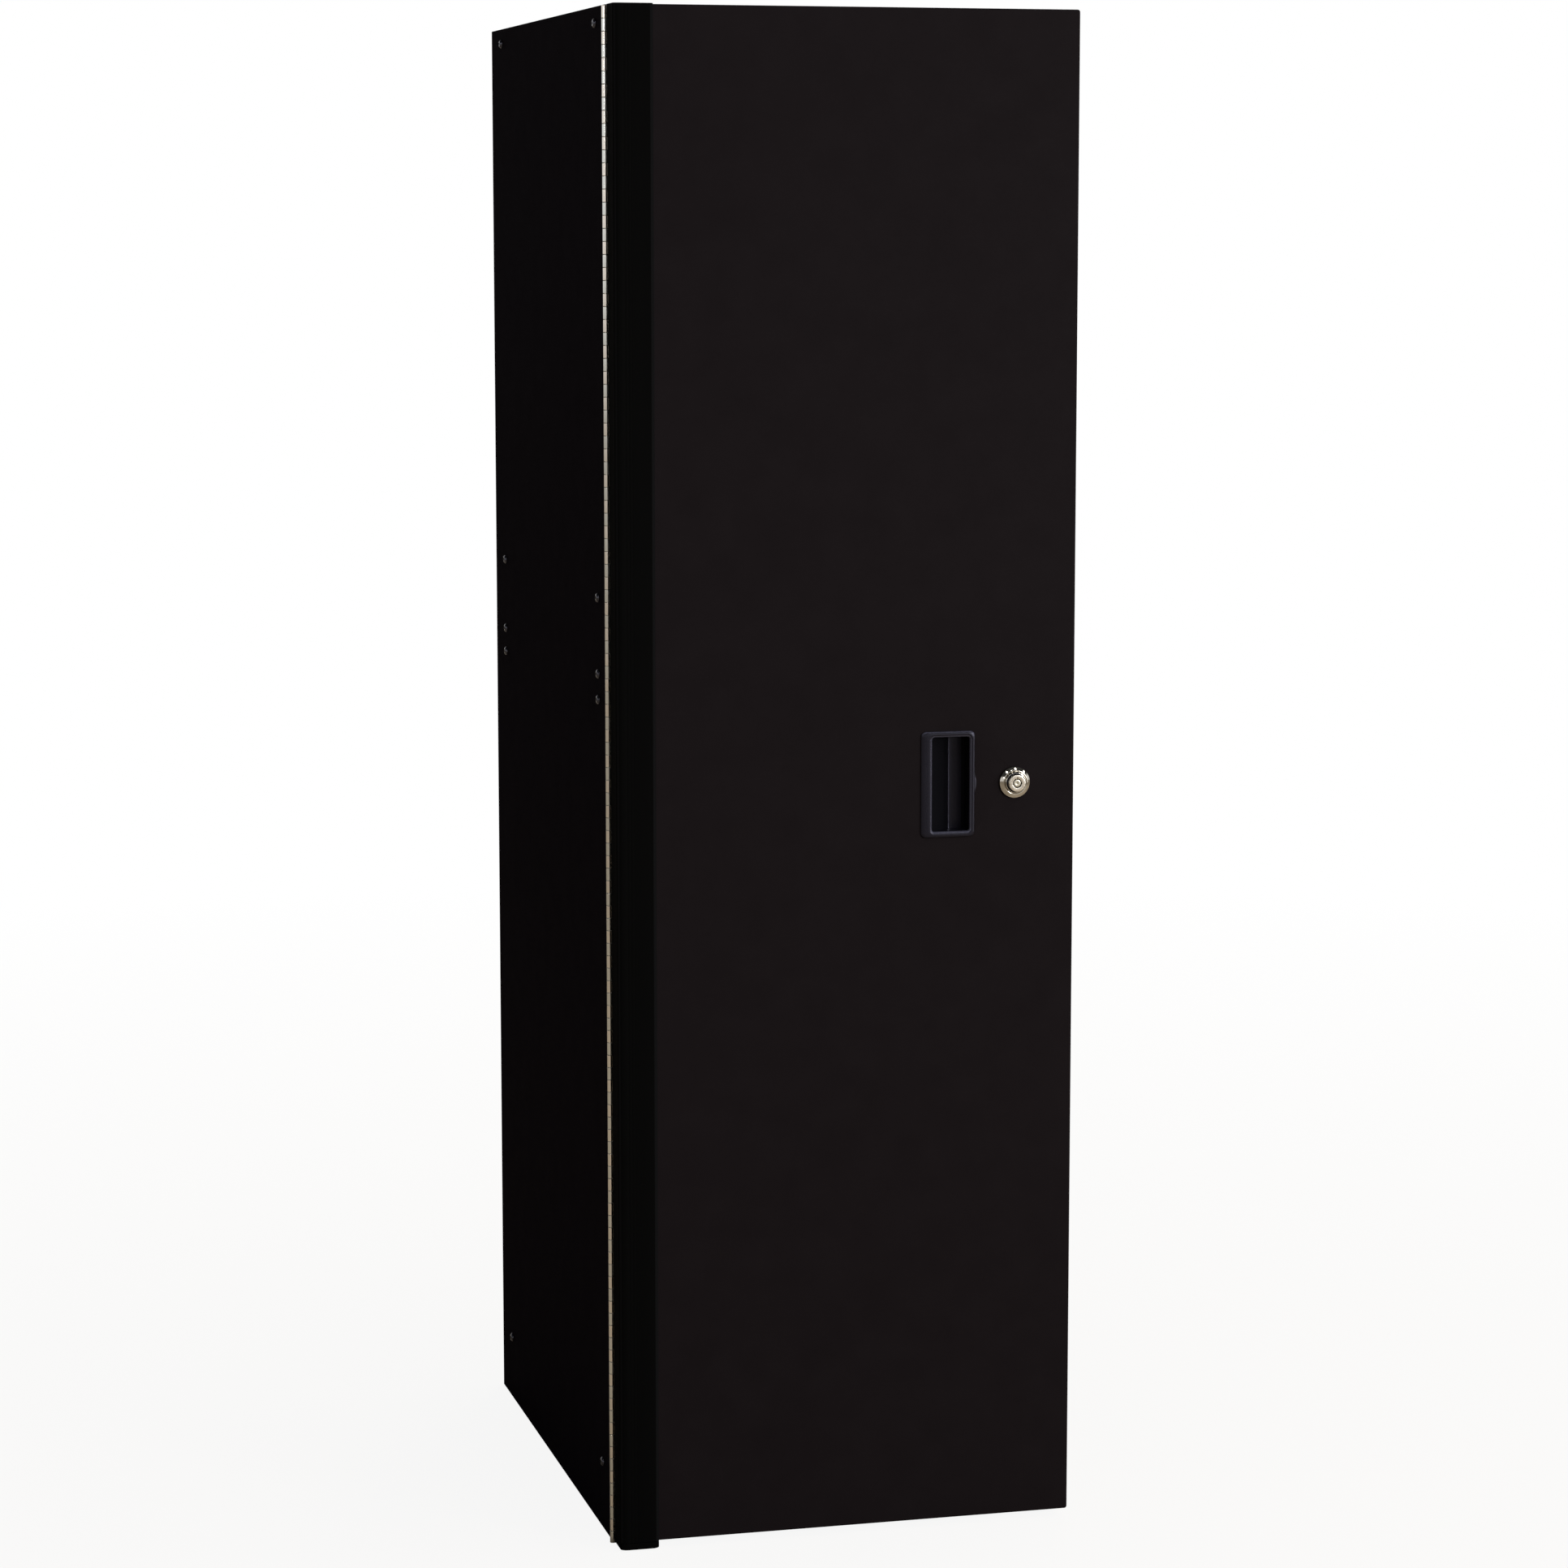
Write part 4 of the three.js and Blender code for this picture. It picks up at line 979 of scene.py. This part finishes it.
# Radius and depth down the dome, from the socket's edge to the head's.
HEAD_DOME = ((2.2, 0), (3.1, 0.2), (3.9, 0.75), (4.5, 1.5), (4.8, 2.2))
SHANK_RADIUS = 3
SHANK_CHAMFER = 0.5


def socket_shape(radius, angle, along):
    """The recess in a screw's head is a hexagon."""
    if radius > SOCKET_HALF_FLATS:
        return radius
    sixth = math.pi / 3
    return radius / math.cos((angle % sixth) - sixth / 2)


def side_screw(number):
    node = f"side_screw_{number}"
    (top, tip), y_range, z_range = span(node)
    profile = [(SOCKET_HALF_FLATS, top + SOCKET_DEPTH), (SOCKET_HALF_FLATS, top + SOCKET_CHAMFER)]
    profile += [(radius, top + depth) for radius, depth in HEAD_DOME]
    profile += [
        (HEAD_DOME[-1][0], -SEAT_GAP),
        (SHANK_RADIUS, -SEAT_GAP),
        (SHANK_RADIUS, tip - SHANK_CHAMFER),
        (SHANK_RADIUS - SHANK_CHAMFER, tip),
    ]
    axis = about_x(sum(y_range) / 2, sum(z_range) / 2)
    screw = prism(turned_rings(profile, axis, SCREW_SEGMENTS, socket_shape))
    add_piece(f"side_screw_domed_{number}", screw, [SCREW_STEEL], "cabinet", node)


# Bumpers: rubber pads with a round front edge.

BUMPER_SEGMENTS = 40
# How far inside the pad's radius and behind its front the edge goes.
BUMPER_EDGE = ((2.4, 0), (1.2, 0.25), (0.3, 1.2), (0, 2.4))


def bumper(node):
    x_range, (front, back), z_range = span(node)
    radius = (z_range[1] - z_range[0]) / 2
    profile = [(radius - inset, front + behind) for inset, behind in BUMPER_EDGE]
    profile.append((radius, back))
    axis = about_y(sum(x_range) / 2, sum(z_range) / 2)
    pad = prism(turned_rings(profile, axis, BUMPER_SEGMENTS))
    add_piece(f"{node}_pad", pad, [BUMPER_RUBBER], "cabinet", node)


# CAD nodes that keep their shape: their edges are rounded and they get a finish.

FLAT_ANGLE = math.radians(1)
SAME_PLACE = 0.01
PANEL_ROUNDING = 0.5
UPRIGHT_ROUNDING = 0.4
SMALL_ROUNDING = 0.3
SHELF_LEVELS = ("lower", "middle", "upper")


def dress(node, material, rounding):
    target = frame["nodes"][node]
    target.data.materials.clear()
    target.data.materials.append(material)
    weld = target.modifiers.new("weld", "WELD")
    weld.merge_threshold = SAME_PLACE * MILLIMETRE
    flat = target.modifiers.new("flat", "DECIMATE")
    flat.decimate_type = "DISSOLVE"
    flat.angle_limit = FLAT_ANGLE
    soften(target, rounding)


def dress_case():
    for node in ("left_side_panel", "right_side_panel", "back_panel", "top_panel", "bottom_panel"):
        dress(node, CASE_ENAMEL, PANEL_ROUNDING)
    for level in SHELF_LEVELS:
        dress(f"shelf_{level}", CASE_ENAMEL, PANEL_ROUNDING)
    for end in ("front", "rear"):
        for side in ("left", "right"):
            dress(f"upright_{end}_{side}", CASE_ENAMEL, UPRIGHT_ROUNDING)
            for level in SHELF_LEVELS:
                dress(f"shelf_clip_{level}_{end}_{side}", GALVANISED_STEEL, SMALL_ROUNDING)
    dress("door_inner_panel", CASE_ENAMEL, SMALL_ROUNDING)
    dress("door_stiffener", GALVANISED_STEEL, SMALL_ROUNDING)
    for node in ("lock_nut", "lock_cam", "lock_cam_nut"):
        dress(node, PLATED_STEEL, SMALL_ROUNDING)


# Studio

# The camera's place in the locker's millimetres, its tilt up from straight down and its heading to the left
# of straight ahead in degrees, its lens and sensor in millimetres and how far it sees in metres.
CAMERA_AT = (-859.3, -4058.7, 1337.1)
CAMERA_TILT = 82.383
CAMERA_HEADING = -14.364
CAMERA_LENS = 96.141
CAMERA_SENSOR = 36
CAMERA_REACH = 200


def camera():
    data = bpy.data.cameras.new("camera")
    data.lens = CAMERA_LENS
    data.sensor_width = CAMERA_SENSOR
    data.clip_end = CAMERA_REACH
    eye = bpy.data.objects.new("camera", data)
    eye.location = place(CAMERA_AT)
    eye.rotation_euler = (math.radians(CAMERA_TILT), 0, math.radians(CAMERA_HEADING))
    bpy.context.scene.collection.objects.link(eye)
    bpy.context.scene.camera = eye


def combined(tree, operation, first, second):
    node = tree.nodes.new("ShaderNodeMath")
    node.operation = operation
    tree.links.new(first, node.inputs[0])
    tree.links.new(second, node.inputs[1])
    return node.outputs[0]


def mirror_rays(tree, path):
    return combined(tree, "MAXIMUM", path.outputs["Is Glossy Ray"], path.outputs["Is Transmission Ray"])


def mixed(tree, share, first, second, output):
    """Links a mix of two shaders to an output: all of the first at a share of 0, of the second at 1."""
    mix = tree.nodes.new("ShaderNodeMixShader")
    share_input, first_input, second_input = mix.inputs
    tree.links.new(share, share_input)
    tree.links.new(first, first_input)
    tree.links.new(second, second_input)
    tree.links.new(mix.outputs["Shader"], output.inputs["Surface"])


# The even light's level from the left and from the right, and where it turns from one to the other.
EVEN_LIGHT = (0.07, 1.3)
EVEN_TURN = (-0.5, 0.6)
EVEN_COLOUR = (1, 0.99, 0.97, 1)
# The heights, as the sine of an angle, between which the white backdrop turns into the ceiling.
CEILING_START = 0.22
CEILING_END = 0.36
CEILING_GREY = 0.05


def world():
    """A white backdrop under a dark ceiling, and a soft light, mostly from the right."""
    studio = bpy.data.worlds.new("studio")
    studio.use_nodes = True
    tree = studio.node_tree
    direction = tree.nodes.new("ShaderNodeTexCoord")
    parts = tree.nodes.new("ShaderNodeSeparateXYZ")
    tree.links.new(direction.outputs["Generated"], parts.inputs["Vector"])

    even = tree.nodes["Background"]
    even.inputs["Color"].default_value = EVEN_COLOUR
    level = tree.nodes.new("ShaderNodeMapRange")
    level.inputs["From Min"].default_value = EVEN_TURN[0]
    level.inputs["From Max"].default_value = EVEN_TURN[1]
    level.inputs["To Min"].default_value = EVEN_LIGHT[0]
    level.inputs["To Max"].default_value = EVEN_LIGHT[1]
    tree.links.new(parts.outputs["X"], level.inputs["Value"])
    tree.links.new(level.outputs["Result"], even.inputs["Strength"])

    backdrop = tree.nodes.new("ShaderNodeBackground")
    ramp = tree.nodes.new("ShaderNodeValToRGB")
    backdrop_end, ceiling = ramp.color_ramp.elements
    backdrop_end.position = CEILING_START
    backdrop_end.color = (1, 1, 1, 1)
    ceiling.position = CEILING_END
    ceiling.color = (CEILING_GREY, CEILING_GREY, CEILING_GREY, 1)
    tree.links.new(parts.outputs["Z"], ramp.inputs["Fac"])
    tree.links.new(ramp.outputs["Color"], backdrop.inputs["Color"])

    path = tree.nodes.new("ShaderNodeLightPath")
    seen = combined(tree, "MAXIMUM", path.outputs["Is Camera Ray"], mirror_rays(tree, path))
    output = tree.nodes["World Output"]
    mixed(tree, seen, even.outputs["Background"], backdrop.outputs["Background"], output)
    bpy.context.scene.world = studio


FLOOR_HALF = 60
FLOOR_COLOUR = (0.46, 0.39, 0.3, 1)
# How much of the floor's own shade shows at its middle, and how many metres out it has faded to white:
# to the camera, and in metal.
CAMERA_SHADE = (0.1, 4)
MIRROR_SHADE = (1, 110)


def whiteness(tree, shade, reach):
    """How white the floor is: all white from reach metres out, and less by the shade at the middle."""
    coordinates = tree.nodes.new("ShaderNodeTexCoord")
    mapping = tree.nodes.new("ShaderNodeMapping")
    mapping.inputs["Scale"].default_value = (1 / reach,) * 3
    fade = tree.nodes.new("ShaderNodeTexGradient")
    fade.gradient_type = "SPHERICAL"
    white = tree.nodes.new("ShaderNodeMapRange")
    white.inputs["To Min"].default_value = 1
    white.inputs["To Max"].default_value = 1 - shade
    tree.links.new(coordinates.outputs["Object"], mapping.inputs["Vector"])
    tree.links.new(mapping.outputs["Vector"], fade.inputs["Vector"])
    tree.links.new(fade.outputs["Fac"], white.inputs["Value"])
    return white.outputs["Result"]


def floor_material():
    material = bpy.data.materials.new("floor")
    material.use_nodes = True
    tree = material.node_tree
    shader = tree.nodes["Principled BSDF"]
    shader.inputs["Base Color"].default_value = FLOOR_COLOUR
    shader.inputs["Roughness"].default_value = 1
    shader.inputs["Specular IOR Level"].default_value = 0
    white = tree.nodes.new("ShaderNodeEmission")
    path = tree.nodes.new("ShaderNodeLightPath")
    to_camera = combined(tree, "MULTIPLY", path.outputs["Is Camera Ray"], whiteness(tree, *CAMERA_SHADE))
    in_metal = combined(tree, "MULTIPLY", mirror_rays(tree, path), whiteness(tree, *MIRROR_SHADE))
    share = combined(tree, "MAXIMUM", to_camera, in_metal)
    mixed(tree, share, shader.outputs["BSDF"], white.outputs["Emission"], tree.nodes["Material Output"])
    return material


def floor():
    mesh = bpy.data.meshes.new("floor")
    corners = [(-1, -1), (1, -1), (1, 1), (-1, 1)]
    mesh.from_pydata([(a * FLOOR_HALF, b * FLOOR_HALF, 0) for a, b in corners], [], [(0, 1, 2, 3)])
    mesh.materials.append(floor_material())
    ground = bpy.data.objects.new("floor", mesh)
    bpy.context.scene.collection.objects.link(ground)


# Each lamp's place and aim in metres, its width and height in metres, and its power in watts.
LAMPS = {
    "key": ((1.9, -3, 1.3), (0, -0.3, 0.7), (0.7, 0.7), 42),
    "strip": ((2.6, -2.2, 1.1), (0, -0.3, 0.7), (0.35, 1.6), 18),
    "left": ((-2.1, -2.9, 1.7), (0, -0.3, 0.7), (0.2, 0.2), 3),
    "overhead": ((0.2, -2.6, 3.2), (0, -0.2, 0.4), (0.4, 0.4), 11),
    "rear": ((1.6, 3.2, 2.4), (0, 0.3, 0.8), (1, 1), 40),
}
# Small lamps that show in the lock.
GLINTS = ((0.92, -1.58, 2.8), (-0.75, -1.94, 2.44), (2.22, -1.07, 2.0))
GLINT_AIM = (0.18, -0.31, 0.78)
GLINT_SIZE = (0.3, 0.3)
GLINT_POWER = 2


def lamp(name, location, aim, size, power):
    data = bpy.data.lights.new(name, "AREA")
    data.shape = "RECTANGLE"
    data.size, data.size_y = size
    data.energy = power
    light = bpy.data.objects.new(name, data)
    light.location = location
    light.rotation_euler = (Vector(aim) - Vector(location)).to_track_quat("-Z", "Y").to_euler()
    light.visible_camera = False
    bpy.context.scene.collection.objects.link(light)


def lamps():
    for name, settings in LAMPS.items():
        lamp(name, *settings)
    for number, location in enumerate(GLINTS):
        lamp(f"glint_{number}", location, GLINT_AIM, GLINT_SIZE, GLINT_POWER)


camera()
world()
floor()
lamps()
bpy.context.scene.view_settings.view_transform = "Standard"

door_skin()
door_trim()
trim_cap()
hinge_leaf(
    "hinge_leaf_case_curled", "hinge_leaf_cabinet", "cabinet", HINGE_PLATE_CASE, CASE_SIDE, first_knuckle=1
)
hinge_leaf(
    "hinge_leaf_door_curled", "hinge_leaf_door", "door", HINGE_PLATE_DOOR, DOOR_SIDE, first_knuckle=0
)
hinge_pin()
handle_cup()
lock_collar()
lock_housing()
lock_spindle()
for screw in range(1, SCREWS + 1):
    side_screw(screw)
for pad in ("bumper_bottom", "bumper_top"):
    bumper(pad)
dress_case()
